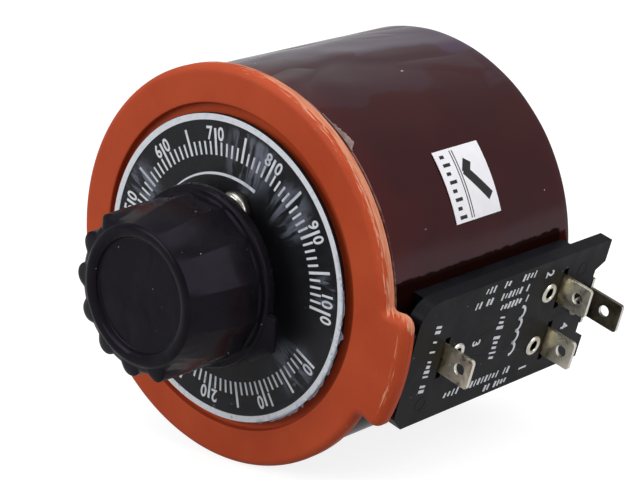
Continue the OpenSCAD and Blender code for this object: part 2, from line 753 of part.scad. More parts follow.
// One grip lobe, a straight round rib that starts in the rim and sinks into the widening body
module lobe(roll) {
    start = knob_front + roll / 2;
    end = knob_step + flange_t / 4;
    translate([knob_front_r + lobe_proud - lobe_r, 0, 0]) revolved([[0, start],
        [lobe_r - lobe_proud / 4, start], [lobe_r, start + lobe_proud / 4],
        [lobe_r, end], [0, end]]);
}

// The beak on the flange that points at the scale
module pointer() {
    root = flange_r - pointer_w / 2;
    shoulder = flange_r + (pointer_r - flange_r) / 6;
    lengthwise(knob_rear - pointer_t, knob_rear - pass_clear)
        polygon([[root, -pointer_w / 2], [shoulder, -pointer_w / 2], [pointer_r, 0],
            [shoulder, pointer_w / 2], [root, pointer_w / 2]]);
}

// Brass insert that the knob turns the shaft with
module knob_insert() color("gold") difference() {
    tube(knob_insert_r, knob_bore_r, knob_insert_front, knob_insert_rear);
    at_angle(zero_angle + half_turn)
        radial_rod(knob_grub_r + seat_clear, knob_grub_depth, 0, knob_insert_r + EPS);
}

// A grub screw that stands on a flat of the shaft
module grub(r, l, depth) color("darkgray") at_angle(zero_angle + half_turn)
    radial_rod(r, depth, shaft_r - shaft_flat + seat_clear, shaft_r - shaft_flat + seat_clear + l);

module knob_grub_screw() grub(knob_grub_r, knob_grub_l, knob_grub_depth);

module hub_grub_screw() grub(hub_grub_r, hub_grub_l, hub_grub_depth);

// Aluminium arm with a round middle that sheds heat, and a window for the brush
module brush_arm() color("lightsteelblue") at_angle(zero_angle) difference() {
    union() {
        rod(arm_disc_r, arm_front, arm_rear);
        lengthwise(arm_front, arm_rear) arm_outline();
    }
    rod(collar_r + seat_clear, arm_front - EPS, arm_rear + EPS);
    brush_block(loose_clear, arm_front - EPS, arm_rear + EPS);
    at_rivets() rod(rivet_r + seat_clear, arm_front - EPS, arm_rear + EPS);
}

// The arm's outline, with a rounded outer end
module arm_outline() {
    end = brush_track_r + brush_l / 2 + arm_end - arm_w / 2;
    polygon(concat([[0, -arm_w / 2]], arc(end, 0, arm_w / 2, -90, 90, 16), [[0, arm_w / 2]]));
}

// The brush's own shape, with room around it
module brush_block(room, front, rear)
    block([brush_track_r - brush_l / 2 - room, front, -brush_w / 2 - room],
        [brush_track_r + brush_l / 2 + room, rear, brush_w / 2 + room]);

// Places of the rivets: the brush spring's, the holder's and the sliding contact's
spring_rivet_r = arm_disc_r - 2 * rivet_r;
holder_rivet_r = brush_track_r - brush_l / 2 - loose_clear - holder_wall - 2 * rivet_r;
finger_rivet_r = collar_r + seat_clear + 2 * rivet_r;

// Places children at each rivet of the brush arm
module at_rivets() {
    translate([spring_rivet_r, 0, 0]) children();
    translate([holder_rivet_r, 0, 0]) children();
    at_angle(half_turn) translate([finger_rivet_r, 0, 0]) children();
}

// Brass hub that carries the arm on the shaft, with the finger of the end stop
module arm_hub() color("gold") difference() {
    union() {
        tube(collar_r, knob_bore_r, collar_front, collar_rear);
        at_angle(zero_angle + half_turn)
            block([knob_bore_r + hub_collar_wall / 2, stop_finger_front, -stop_finger_w / 2],
                [stop_r + stop_pin_r, stop_finger_rear, stop_finger_w / 2]);
    }
    at_angle(zero_angle + half_turn) radial_rod(hub_grub_r + seat_clear, hub_grub_depth, 0, collar_r + EPS);
}

// Brass box that guides the brush, with a lug riveted to the arm
module brush_holder() color("gold") at_angle(zero_angle) difference() {
    union() {
        brush_block(loose_clear + holder_wall, holder_front, arm_front);
        block([holder_rivet_r - 2 * rivet_r, arm_front - holder_wall, -leaf_w / 2],
            [brush_track_r, arm_front, leaf_w / 2]);
    }
    brush_block(loose_clear, holder_front - EPS, arm_front + EPS);
    at_rivets() rod(rivet_r + seat_clear, holder_front - EPS, arm_front + EPS);
}

// Carbon brush that runs on the bared ends of the turns
module carbon_brush() color("black") at_angle(zero_angle) brush_block(0, brush_front, brush_rear);

// Leaf spring on the arm that presses the brush onto the track
module brush_spring() color("khaki") at_angle(zero_angle) difference() {
    foot_end = spring_rivet_r + 3 * rivet_r;
    press_start = brush_track_r - brush_l / 2;
    press_end = brush_track_r + brush_l / 2;
    crosswise(leaf_w) polygon([[spring_rivet_r - 3 * rivet_r, arm_rear], [foot_end, arm_rear],
        [press_start, brush_rear], [press_end, brush_rear], [press_end, brush_rear + leaf_t],
        [press_start, brush_rear + leaf_t], [foot_end, arm_rear + leaf_t],
        [spring_rivet_r - 3 * rivet_r, arm_rear + leaf_t]]);
    at_rivets() rod(rivet_r + seat_clear, arm_rear - EPS, arm_rear + leaf_t + EPS);
}

// Leaf under the arm that slides on the collector ring
module collector_finger() color("khaki") at_angle(zero_angle) at_angle(half_turn) difference() {
    foot_end = finger_rivet_r + 2 * rivet_r;
    touch = (collector_in_r + collector_r) / 2;
    run = collector_rear + slide_gap;
    crosswise(leaf_w) polygon([[collar_r + loose_clear, arm_front], [foot_end, arm_front],
        [touch, run + leaf_t], [collector_r, run + 2 * leaf_t], [collector_r, run + leaf_t], [touch, run],
        [foot_end - leaf_t, arm_front - leaf_t], [collar_r + loose_clear, arm_front - leaf_t]]);
    translate([finger_rivet_r, 0, 0]) rod(rivet_r + seat_clear, arm_front - 2 * leaf_t, arm_front + EPS);
}

// Rivets through the brush arm and the pieces on it
module arm_rivets() color("silver") at_angle(zero_angle) {
    translate([spring_rivet_r, 0, 0]) rivet(arm_front, arm_rear + leaf_t);
    translate([holder_rivet_r, 0, 0]) rivet(arm_front - holder_wall, arm_rear);
    at_angle(half_turn) translate([finger_rivet_r, 0, 0]) rivet(arm_front - leaf_t, arm_rear);
}

// A rivet with two low heads, closed onto the faces at two depths
module rivet(front, rear) {
    head_r = 1.7 * rivet_r;
    revolved([[0, front - rivet_head_h], [head_r, front - rivet_head_h], [head_r, front], [rivet_r, front],
        [rivet_r, rear], [head_r, rear], [head_r, rear + rivet_head_h], [0, rear + rivet_head_h]]);
}

base_moulding();
screw_inserts();
dial_plate();
dial_film();
dial_screws();
front_bush();
rear_bush();
core();
core_case_front();
core_case_rear();
core_seat();
bore_liner();
winding();
wrap();
clamp_plate();
clamp_screws();
collector();
stop_pin();
terminal_board();
terminal_1();
terminal_2();
terminal_3();
terminal_4();
eyelets();
tap_leads();
shaft();
retaining_clip();
knob();
knob_insert();
knob_grub_screw();
brush_arm();
arm_hub();
hub_grub_screw();
brush_holder();
carbon_brush();
brush_spring();
collector_finger();
arm_rivets();
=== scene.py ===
"""Looks of a panel-mount variable autotransformer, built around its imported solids.

Lengths are in millimetres and become metres where a mesh is made. The shaft lies along Y.
Depths run along +Y from the front ring's face, and angles are seen from the front, from +X.
"""
import random
from math import asin, ceil, cos, degrees, dist, hypot, pi, radians, sin, sqrt, tau

import bmesh
import bpy
from mathutils import Matrix, Vector
from mathutils import noise as perlin


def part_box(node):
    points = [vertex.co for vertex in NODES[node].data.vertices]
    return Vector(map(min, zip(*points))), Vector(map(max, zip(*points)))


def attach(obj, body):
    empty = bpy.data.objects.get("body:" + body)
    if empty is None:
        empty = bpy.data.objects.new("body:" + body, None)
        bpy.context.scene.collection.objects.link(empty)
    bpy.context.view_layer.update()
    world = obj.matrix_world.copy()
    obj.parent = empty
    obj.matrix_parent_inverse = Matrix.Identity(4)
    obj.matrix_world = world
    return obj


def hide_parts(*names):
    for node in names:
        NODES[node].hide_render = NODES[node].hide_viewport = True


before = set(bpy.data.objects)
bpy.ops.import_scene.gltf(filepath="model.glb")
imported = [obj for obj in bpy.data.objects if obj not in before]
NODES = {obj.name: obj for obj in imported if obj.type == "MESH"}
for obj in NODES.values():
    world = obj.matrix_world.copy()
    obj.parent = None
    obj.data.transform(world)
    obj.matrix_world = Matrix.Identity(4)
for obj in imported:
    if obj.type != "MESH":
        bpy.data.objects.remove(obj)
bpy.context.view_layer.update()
MM = 0.001
TURN = 360.0
SQUARE = ((-1, -1), (1, -1), (1, 1), (-1, 1))


def corners(node):
    """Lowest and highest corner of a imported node, in millimetres."""
    low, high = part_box(node)
    return low / MM, high / MM


def polar(r, angle, depth):
    """The point at a distance and an angle from the shaft, at a depth."""
    turn = radians(angle)
    return Vector((r * cos(turn), depth, r * sin(turn)))


# Sizes that the frame gives; half a blade and an eyelet's flange lead from an edge to a middle
RING_R = -corners("base_moulding")[0].x
HUB_END = corners("base_moulding")[1].y
DIAL_R = corners("dial_plate")[1].x
DIAL_FACE, DIAL_SEAT = corners("dial_plate")[0].y, corners("dial_plate")[1].y
FILM_FRONT = corners("dial_film")[0].y
WRAP_R = -corners("wrap")[0].x
WRAP_FRONT, WRAP_END = corners("wrap")[0].y, corners("wrap")[1].y
BASE_REAR = corners("core_seat")[0].y
LINER_R = corners("bore_liner")[1].x
WINDING_R = -corners("winding")[0].x
WINDING_FRONT, TRACK = corners("winding")[0].y, corners("winding")[1].y
KNOB_FRONT, KNOB_REAR = corners("knob")[0].y, corners("knob")[1].y
FLANGE_R = -corners("knob")[0].x
INSERT_R = corners("knob_insert")[1].x
INSERT_FRONT = corners("knob_insert")[0].y
CLAMP_REAR = corners("clamp_plate")[1].y
SCREW_END = corners("dial_screws")[1].y
HALF_BLADE = 0.4
PAIR_BLADE = corners("terminal_1")[1].y - HALF_BLADE
FRONT_BLADE = corners("terminal_3")[0].y + HALF_BLADE
EYELET_FLANGE_R = 2.15
EDGE_EYELET = corners("eyelets")[1].y - EYELET_FLANGE_R

# Sizes that the photograph gives, and directions that follow from them
BOARD_ANGLE = -17.0
BOARD_OUT = 44.02
BOARD_NORMAL = polar(1, BOARD_ANGLE, 0)
BOARD_UP = Vector((-BOARD_NORMAL.z, 0, BOARD_NORMAL.x))
ZERO_ANGLE = -32.2
TRAVEL = 335.0
GAP_ANGLE = ZERO_ANGLE + (TURN - TRAVEL) / 2
GROOVE_W, GROOVE_DEPTH = 1.8, 1.6
RING_T, RING_EDGE = 3.4, 1.5
EAR_REACH, EAR_HALF_ANGLE = 5.2, 15.9
EAR_CORNER_R, EAR_FILLET_R = 2.4, 1.1
EAR_EDGE, EAR_STEP = 1.7, 0.3
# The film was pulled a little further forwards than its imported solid
FILM_EDGE = WRAP_FRONT - 1.2

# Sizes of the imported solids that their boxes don't show
PLATFORM_R = DIAL_R - 1.5
SPIGOT_R = WRAP_R - 0.82
HUB_R, HUB_BORE_R = 12.68, 6.18
BUSH_SEAT_R, BUSH_L = 6.02, 14.0
# Radii between which the brush bares the winding
BARED_IN, BARED_OUT = 25.9, 32.1


def arc(cx, cy, r, start, end, steps):
    """Points of an arc about (cx, cy), between two angles in degrees."""
    turns = [radians(start + (end - start) * i / steps) for i in range(steps + 1)]
    return [(cx + r * cos(t), cy + r * sin(t)) for t in turns]


def smooth(t):
    """A soft step from 0 to 1."""
    t = min(max(t, 0.0), 1.0)
    return t * t * (3 - 2 * t)


def wobble(t, row):
    """Soft noise along a line; each row is a noise of its own."""
    return perlin.noise(Vector((t, row, 0)))


# Meshes: each builder returns a list of points and a list of faces

def loft(rings, closed=False):
    """Quads between rings with equal numbers of points; closed also joins the last to the first."""
    count = len(rings[0])
    points = [p for ring in rings for p in ring]
    faces = []
    for i in range(len(rings) if closed else len(rings) - 1):
        low, high = i * count, (i + 1) % len(rings) * count
        for j in range(count):
            k = (j + 1) % count
            faces.append((low + j, low + k, high + k, high + j))
    return points, faces


def capped(rings):
    """A loft with a face on its first and its last ring."""
    points, faces = loft(rings)
    numbers = range(len(points))
    count = len(rings[0])
    return points, faces + [tuple(numbers[:count]), tuple(numbers[-count:])]


def circles(profile, angles):
    """A ring about the shaft for each (radius, depth) point of a profile."""
    return [[polar(r, a, depth) for a in angles] for r, depth in profile]


def lathe(profile, segments, closed=False):
    """A profile of (radius, depth) points turned about the shaft."""
    return loft(circles(profile, [TURN * j / segments for j in range(segments)]), closed)


def ribbon(path, width, place, lift):
    """A thin closed strip along a path of (u, v) points; place(u, v, height) puts it on a surface."""
    rings = []
    for i, here in enumerate(path):
        before, after = path[max(i - 1, 0)], path[min(i + 1, len(path) - 1)]
        along = Vector((after[0] - before[0], after[1] - before[1])).normalized()
        side = Vector((-along.y, along.x)) * width / 2
        a, b = Vector(here) + side, Vector(here) - side
        rings.append([place(a.x, a.y, 0), place(b.x, b.y, 0), place(b.x, b.y, lift), place(a.x, a.y, lift)])
    return capped(rings)


def slab(angle, radii, depths):
    """The four corners of a section between two radii and two depths."""
    (inner, outer), (front, rear) = radii, depths
    return [polar(inner, angle, front), polar(outer, angle, front),
            polar(outer, angle, rear), polar(inner, angle, rear)]


def glyphs(text, height, place, lift, squeeze=0.9):
    """Raised figures in the built-in font, centred on (0, 0), put on a surface by place(u, v, height)."""
    half = 0.5
    curve = bpy.data.curves.new("glyphs", "FONT")
    curve.body = text
    curve.extrude = half
    curve.offset = 0.022
    holder = add_object("glyphs", curve)
    graph = bpy.context.evaluated_depsgraph_get()
    mesh = bpy.data.meshes.new_from_object(holder.evaluated_get(graph))
    found = [v.co.copy() for v in mesh.vertices]
    faces = [tuple(p.vertices) for p in mesh.polygons]
    bpy.data.objects.remove(holder)
    bpy.data.meshes.remove(mesh)
    (left, foot), (right, top) = ([pick(v[k] for v in found) for k in (0, 1)] for pick in (min, max))
    mid_x, mid_y = (left + right) / 2, (foot + top) / 2
    scale = height / (top - foot)
    flat = [((v.x - mid_x) * scale * squeeze, (v.y - mid_y) * scale, (v.z + half) * lift) for v in found]
    return [place(*p) for p in flat], faces


def tube(path, r):
    """A closed loop of wire along points that lie in one plane through the shaft."""
    rings = []
    count, sides = len(path), 6
    turns = [tau * j / sides for j in range(sides)]
    for i, here in enumerate(path):
        along = (path[(i + 1) % count] - path[i - 1]).normalized()
        across = along.cross(Vector((0, 1, 0)).cross(here).normalized()).normalized()
        other = along.cross(across)
        rings.append([here + (across * cos(t) + other * sin(t)) * r for t in turns])
    return loft(rings, closed=True)


def merge(*parts):
    """Several meshes as one."""
    points, faces = [], []
    for part_points, part_faces in parts:
        start = len(points)
        points += part_points
        faces += [tuple(start + i for i in f) for f in part_faces]
    return points, faces


def copies(shape, centres):
    """One mesh of a shape that is repeated at each centre."""
    points, faces = shape
    return merge(*(([p + centre for p in points], faces) for centre in centres))


# Objects

# Points closer than this are joined
SAME_POINT = 1e-4
SHARP_ANGLE = 35.0


def add_object(name, data):
    made = bpy.data.objects.new(name, data)
    bpy.context.scene.collection.objects.link(made)
    return made


def make_mesh(name, shape, values=None):
    """A mesh in metres whose faces all look outwards. values holds named numbers for each point."""
    points, faces = shape
    mesh = bpy.data.meshes.new(name)
    mesh.from_pydata([Vector(p) * MM for p in points], [], faces)
    for key, numbers in (values or {}).items():
        mesh.attributes.new(key, "FLOAT", "POINT").data.foreach_set("value", numbers)
    work = bmesh.new()
    work.from_mesh(mesh)
    bmesh.ops.remove_doubles(work, verts=work.verts, dist=MM * SAME_POINT)
    bmesh.ops.dissolve_degenerate(work, edges=work.edges, dist=MM * SAME_POINT)
    bmesh.ops.recalc_face_normals(work, faces=work.faces)
    work.to_mesh(mesh)
    work.free()
    return mesh


def shade_smooth(mesh, sharp=SHARP_ANGLE):
    """Smooth shading, apart from edges that turn by more than an angle."""
    mesh.shade_smooth()
    mesh.set_sharp_from_angle(angle=radians(sharp))


def piece(name, shape, body, material, replaces=(), sharp=SHARP_ANGLE, values=None):
    """A piece of the object from a mesh in millimetres."""
    mesh = make_mesh(name, shape, values)
    shade_smooth(mesh, sharp)
    made = add_object(name, mesh)
    mesh.materials.append(material)
    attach(made, body)
    if replaces:
        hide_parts(*replaces)
    return made


def dress(node, material, width):
    """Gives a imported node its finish, and rounds its edges to a width."""
    shown = NODES[node]
    shown.data.materials.clear()
    shown.data.materials.append(material)
    if not width:
        return
    weld = shown.modifiers.new("weld", "WELD")
    weld.merge_threshold = MM * 1e-3
    bevel = shown.modifiers.new("bevel", "BEVEL")
    bevel.width = width * MM
    bevel.segments = 2
    bevel.limit_method = "ANGLE"
    bevel.angle_limit = radians(40)
    bevel.harden_normals = True


# Materials

SOCKETS = {
    "color": "Base Color", "metal": "Metallic", "rough": "Roughness", "specular": "Specular IOR Level",
    "normal": "Normal", "alpha": "Alpha", "tint": "Specular Tint", "glow": "Emission Color",
    "glow_strength": "Emission Strength",
}
WHITE = (1, 1, 1, 1)


def rgb(red, green, blue):
    """A colour given as it shows on a screen, from 0 to 255."""
    shown = [c / 255 for c in (red, green, blue)]
    return [c / 12.92 if c <= 0.04045 else ((c + 0.055) / 1.055) ** 2.4 for c in shown] + [1.0]


def darker(color, share):
    """A share of a colour's light."""
    return [c * share for c in color[:3]] + [1.0]


class Nodes:
    """A node tree whose nodes are made by short calls."""

    def __init__(self, owner):
        owner.use_nodes = True
        self.tree = owner.node_tree

    def feed(self, node, inputs):
        """Gives inputs of a node a value each, or another node's output."""
        for key, value in inputs.items():
            if isinstance(value, bpy.types.NodeSocket):
                self.tree.links.new(value, node.inputs[key])
            else:
                node.inputs[key].default_value = value

    def add(self, kind, inputs=None, **settings):
        node = self.tree.nodes.new("ShaderNode" + kind)
        for key, value in settings.items():
            setattr(node, key, value)
        self.feed(node, inputs or {})
        return node

    def math(self, operation, a, b=0.0, c=0.0):
        return self.add("Math", {0: a, 1: b, 2: c}, operation=operation).outputs[0]

    def ray_share(self, glossy):
        """1 for rays that leave the camera, and a share of it for mirrored rays."""
        path = self.add("LightPath").outputs
        return self.math("MULTIPLY_ADD", path["Is Glossy Ray"], glossy, path["Is Camera Ray"])


class Finish(Nodes):
    """A material; sizes are in millimetres."""

    def __init__(self, name, **constants):
        self.material = bpy.data.materials.new(name)
        super().__init__(self.material)
        self.place = self.add("TexCoord").outputs["Object"]
        self.set(**constants)

    def set(self, **values):
        shader = self.tree.nodes["Principled BSDF"]
        self.feed(shader, {SOCKETS[key]: value for key, value in values.items()})
        return self.material

    def plus(self, a, b):
        return self.math("ADD", a, b)

    def times(self, a, b):
        return self.math("MULTIPLY", a, b)

    def most(self, first, *others):
        for other in others:
            first = self.math("MAXIMUM", first, other)
        return first

    def vector(self, operation, a, b=(0, 0, 0), scale=1.0):
        node = self.add("VectorMath", {0: a, 1: b, 3: scale}, operation=operation)
        return node.outputs["Value" if operation in ("LENGTH", "DOT_PRODUCT") else "Vector"]

    def blend(self, factor, a, b):
        return self.add("Mix", {0: factor, 6: a, 7: b}, data_type="RGBA").outputs[2]

    def coats(self, color, *coats):
        """A colour with other colours laid over it, each through its mask."""
        for mask, over in coats:
            color = self.blend(mask, color, over)
        return color

    def step(self, value, low, high, start=0.0, end=1.0):
        """Maps low to start and high to end, and holds beyond them."""
        inputs = dict(enumerate((value, low, high, start, end)))
        return self.add("MapRange", inputs, interpolation_type="SMOOTHSTEP").outputs[0]

    def spread(self, noise, start=0.0, end=1.0):
        """Maps the range that a noise mostly keeps to."""
        return self.step(noise, 0.3, 0.7, start, end)

    def noise(self, size, detail=3.0, rough=0.55, where=None, warp=0.0):
        inputs = {"Vector": where or self.place, "Scale": 1 / (size * MM), "Detail": detail,
                  "Roughness": rough, "Distortion": warp}
        return self.add("TexNoise", inputs).outputs["Fac"]

    def specks(self, spacing, r, share, where=None):
        """Small dots in a share of the cells of a random grid."""
        cells = self.add("TexVoronoi", {"Vector": where or self.place, "Scale": 1 / (spacing * MM)}).outputs
        near = self.step(cells["Distance"], r / spacing, r / spacing * 0.7)
        draw = self.add("SeparateColor", {0: cells["Color"]}).outputs[0]
        return self.times(near, self.math("GREATER_THAN", draw, 1 - share))

    def stretched(self, x, y, z):
        """A place whose patterns are drawn out where a factor is small."""
        return self.vector("MULTIPLY", self.place, (x, y, z))

    def rolled(self, r, across):
        """A place made of the turn about the shaft, at a radius, and a distance across it in metres."""
        turn = self.vector("SCALE", self.vector("NORMALIZE", self.stretched(1, 0, 1)), scale=r * MM)
        return self.vector("ADD", turn, self.add("CombineXYZ", {1: across}).outputs[0])

    def around(self, stretch):
        """A place whose patterns are drawn out around the shaft."""
        return self.rolled(RING_R / stretch, self.plus(self.off_shaft(), self.axis(1)))

    def spokes(self, stretch):
        """A place whose patterns are drawn out along the dial's radii."""
        return self.rolled(DIAL_R, self.math("DIVIDE", self.off_shaft(), stretch))

    def axis(self, number):
        return self.add("SeparateXYZ", {0: self.place}).outputs[number]

    def off_shaft(self):
        return self.vector("LENGTH", self.stretched(1, 0, 1))

    def reach(self):
        """Distance from the shaft, in millimetres."""
        return self.math("DIVIDE", self.off_shaft(), MM)

    def along(self, number):
        """A coordinate in millimetres: 0 is X, 1 the depth, 2 Z."""
        return self.math("DIVIDE", self.axis(number), MM)

    def towards(self, direction):
        """Distance from the shaft along a direction across it, in millimetres."""
        return self.plus(self.times(self.along(0), direction.x), self.times(self.along(2), direction.z))

    def value(self, key):
        return self.add("Attribute", attribute_name=key).outputs["Fac"]

    def bump(self, height, depth, before=None):
        node = self.add("Bump", {"Distance": depth * MM, "Height": height})
        if before:
            self.feed(node, {"Normal": before})
        return node.outputs["Normal"]


# The side of the ring whose edge is rubbed most
RUBBED_SIDE = Vector((0.9, 0, 0.43))


def orange_moulding():
    """Moulded thermoset: a plain orange with fine nicks, rubbed pale along its outer edge, with painted
    shade in the gap behind the ring.
    """
    f = Finish("orange_moulding", specular=0.16)
    mottle, grain = f.noise(16), f.noise(0.6, 2)
    streak = f.noise(0.5, 6, 0.62, where=f.around(9), warp=0.5)
    # The wear attribute also carries painted shade where it is below zero
    worn = f.value("wear")
    handled = f.times(worn, f.step(f.towards(RUBBED_SIDE), 18, 32, 0.5, 1.0))
    rub = f.step(f.plus(streak, f.times(handled, 0.55)), 0.76, 0.88)
    rub = f.times(rub, f.step(worn, 0.03, 0.3, 0.0, 0.85))
    nicks = f.most(f.specks(5.5, 0.16, 0.16), f.specks(3.1, 0.09, 0.14))
    plain = f.blend(f.spread(mottle), rgb(170, 64, 32), rgb(180, 74, 40))
    rubbed = f.blend(f.spread(streak), rgb(188, 112, 80), rgb(216, 152, 122))
    # Painted shade: dark orange on the spigot in the gap between the ring and the wrap
    gap_shade = f.step(worn, 0.0, GAP_SHADE / 2)
    color = f.coats(plain, (f.step(grain, 0.4, 0.8, 0.0, 0.15), rgb(190, 84, 50)), (rub, rubbed),
                    (f.times(nicks, 0.7), rgb(226, 158, 122)), (gap_shade, rgb(40, 13, 8)))
    rough = f.step(f.plus(mottle, f.times(rub, 0.5)), 0.3, 1.0, 0.46, 0.7)
    return f.set(color=color, rough=rough, normal=f.bump(f.plus(grain, rub), 0.015))


def black_dial():
    """Black dial paint, a little uneven."""
    f = Finish("black_dial", specular=0.2)
    return f.set(color=f.blend(f.noise(3), rgb(9, 9, 11), rgb(17, 17, 20)),
                 rough=f.spread(f.noise(1.2, 2), 0.3, 0.5))


def white_print():
    """White printing, hardly worn."""
    f = Finish("white_print", specular=0.25)
    wear = f.step(f.noise(0.9), 0.28, 0.5)
    return f.set(color=f.blend(wear, rgb(204, 208, 216), rgb(220, 223, 229)),
                 rough=f.spread(f.noise(2), 0.4, 0.55))


# Where the dial's film shows painted reflections from its waves: distance and angle from the shaft, and how
# far around
FILM_WAVES = ((25.0, 72.0, 9.0), (25.5, 150.0, 7.0), (23.0, 40.0, 7.0), (27.0, 2.0, 4.0), (24.0, -42.0, 7.0))


def clear_film():
    """Clear film: painted grey reflections where it lies in waves, trapped air, lint and a frayed edge."""
    f = Finish("clear_film", specular=0.2)
    # Painted reflection: grey opacity in soft stripes where the film lies in waves
    wave = f.noise(2.6, 2, where=f.spokes(4), warp=0.5)
    wave_sheen = f.times(f.step(wave, 0.42, 0.56), f.step(wave, 0.76, 0.6))
    patches = []
    for r, angle, size in FILM_WAVES:
        off = f.vector("SUBTRACT", f.place, polar(r, angle, DIAL_FACE) * MM)
        patches.append(f.step(f.math("DIVIDE", f.vector("LENGTH", off), MM), size, size * 0.3))
    inside = f.step(f.reach(), BORDER_R, BORDER_R - 1.2)
    wave_sheen = f.times(f.times(wave_sheen, f.most(*patches)), f.times(inside, 0.22))
    air = f.times(f.specks(2.4, 0.5, 0.3), f.step(f.along(2), 8, -14, 0.0, 0.13))
    lint = f.times(f.specks(1.2, 0.1, 0.16), 0.6)
    frayed = f.times(f.value("edge"), 0.4)
    return f.set(color=f.blend(f.noise(4), rgb(128, 134, 154), rgb(176, 182, 198)),
                 rough=f.spread(f.noise(3), 0.3, 0.5), alpha=f.plus(f.most(wave_sheen, air, lint, frayed), 0.008))


def black_knob():
    """Glossy black thermoset in a tight film, with dust on it."""
    f = Finish("black_knob", specular=0.09, tint=rgb(236, 228, 255))
    color = f.blend(f.spread(f.noise(8, 4)), rgb(16, 14, 18), rgb(22, 20, 25))
    color = f.blend(f.specks(2.2, 0.13, 0.55), color, rgb(160, 160, 162))
    folds = f.noise(6, 1, where=f.stretched(1, 0.35, 1), warp=0.8)
    return f.set(color=color, rough=f.step(f.noise(5, 4), 0.3, 0.75, 0.2, 0.34),
                 normal=f.bump(f.noise(2.4, 2), 0.012, f.bump(folds, 0.2)))


# Angle about which the wrap's folds and painted sheen lie
FOLD_MIDDLE = 95.0


def maroon_film():
    """Glossy maroon film in soft folds: painted sheen on top, painted shade beside the board, with a pale
    front edge.
    """
    f = Finish("maroon_film", tint=rgb(236, 226, 255))
    depth, height = f.along(1), f.along(2)
    fibres = f.specks(4.2, 0.19, 0.3, where=f.stretched(1, 0.4, 1))
    lint = f.most(f.specks(5.5, 0.16, 0.5), f.times(fibres, f.step(height, 10, 30, 0.2, 0.8)))
    turn = f.times(f.math("ARCTAN2", height, f.along(0)), 180 / pi)
    lean = f.math("ABSOLUTE", f.math("SUBTRACT", turn, FOLD_MIDDLE))
    waves = f.noise(11, 3, 0.45, where=f.stretched(1, 0.6, 1), warp=0.6)
    wavy = f.plus(lean, f.step(waves, 0.2, 0.8, -9, 9))
    # Painted sheen: two wavy zones on top get a violet-grey colour and more specular in place of reflected
    # light
    top_sheen = f.step(f.math("SUBTRACT", wavy, f.times(depth, 0.42)), 0.5, -2.0)
    sheen = f.step(f.math("SUBTRACT", wavy, f.times(depth, 0.1)), 34.5, 30.0)
    # Painted shade: a dark, less specular band with a ragged edge above the board
    ragged = f.plus(f.towards(BOARD_UP), f.step(f.noise(3.2, 4), 0.2, 0.8, -0.3, 0.3))
    shade = f.times(f.step(ragged, 15.1, 14.6), f.step(f.along(0), 8, 20))
    shade = f.times(shade, f.step(depth, WRAP_END - 3.4, WRAP_END - 4.2))
    front = f.step(f.plus(depth, f.times(waves, 8)), 17, 9, 0.0, 0.5)
    rim = f.step(depth, FILM_EDGE + 0.45, FILM_EDGE + 0.3)
    rim = f.times(rim, f.step(f.noise(4), 0.4, 0.6, 0.1, 0.7))
    plain = f.blend(f.spread(f.noise(22, 2, warp=0.4)), rgb(48, 12, 9), rgb(56, 15, 11))
    color = f.coats(plain, (sheen, rgb(50, 20, 26)), (top_sheen, rgb(54, 30, 54)), (front, rgb(68, 16, 9)),
                    (shade, rgb(24, 7, 5)), (rim, rgb(150, 106, 94)), (lint, rgb(196, 178, 170)))
    drawn = f.noise(15, 1, where=f.stretched(1, 0.4, 1), warp=0.5)
    crease = f.math("ABSOLUTE", f.math("SUBTRACT", drawn, 0.5))
    folds = f.bump(f.times(crease, f.step(lean, 45, 25, 0.05, 1.0)), 2.2)
    specular = f.plus(f.plus(f.times(sheen, 0.12), f.times(top_sheen, 0.2)), 0.3)
    specular = f.times(specular, f.math("SUBTRACT", 1.0, f.times(shade, 0.96)))
    return f.set(color=color, specular=specular, rough=f.spread(f.noise(11), 0.09, 0.16),
                 normal=f.bump(f.noise(5, 1), 0.008, folds))


def torn_film():
    """A torn flap of the film, greyed where it has lifted."""
    f = Finish("torn_film", specular=0.3)
    return f.set(color=f.blend(f.spread(f.noise(1.5)), rgb(112, 90, 88), rgb(146, 126, 122)),
                 rough=f.spread(f.noise(1), 0.35, 0.6))


def black_board():
    """Satin black moulding with fine grain and dust."""
    f = Finish("black_board", specular=0.11)
    drift = f.noise(7, 4, warp=0.5)
    color = f.blend(f.step(drift, 0.3, 0.75), rgb(9, 8, 13), rgb(14, 13, 20))
    color = f.blend(f.specks(2.4, 0.12, 0.5), color, rgb(150, 150, 152))
    return f.set(color=color, rough=f.spread(drift, 0.36, 0.5), normal=f.bump(f.noise(0.35, 2), 0.015))


def metal(name, dark, light, rough, scale=2.5, turned=False):
    """A metal with drifting tone and fine scratches, drawn round the shaft where it was turned, and painted
    shade on points marked inside.
    """
    f = Finish(name, metal=1.0)
    drift = f.noise(scale, 4, warp=0.5)
    lines = f.noise(0.3, 2, where=f.around(40) if turned else f.stretched(0.08, 1, 1))
    spots = f.specks(scale * 0.8, 0.14, 0.12)
    # Points marked inside get a painted shade
    color = f.coats(f.blend(f.spread(drift), dark, light), (f.times(spots, 0.5), darker(dark, 0.45)),
                    (f.value("inside"), rgb(26, 25, 24)))
    return f.set(color=color, rough=f.step(f.plus(drift, lines), 0.7, 1.3, *rough),
                 normal=f.bump(lines, 0.015))


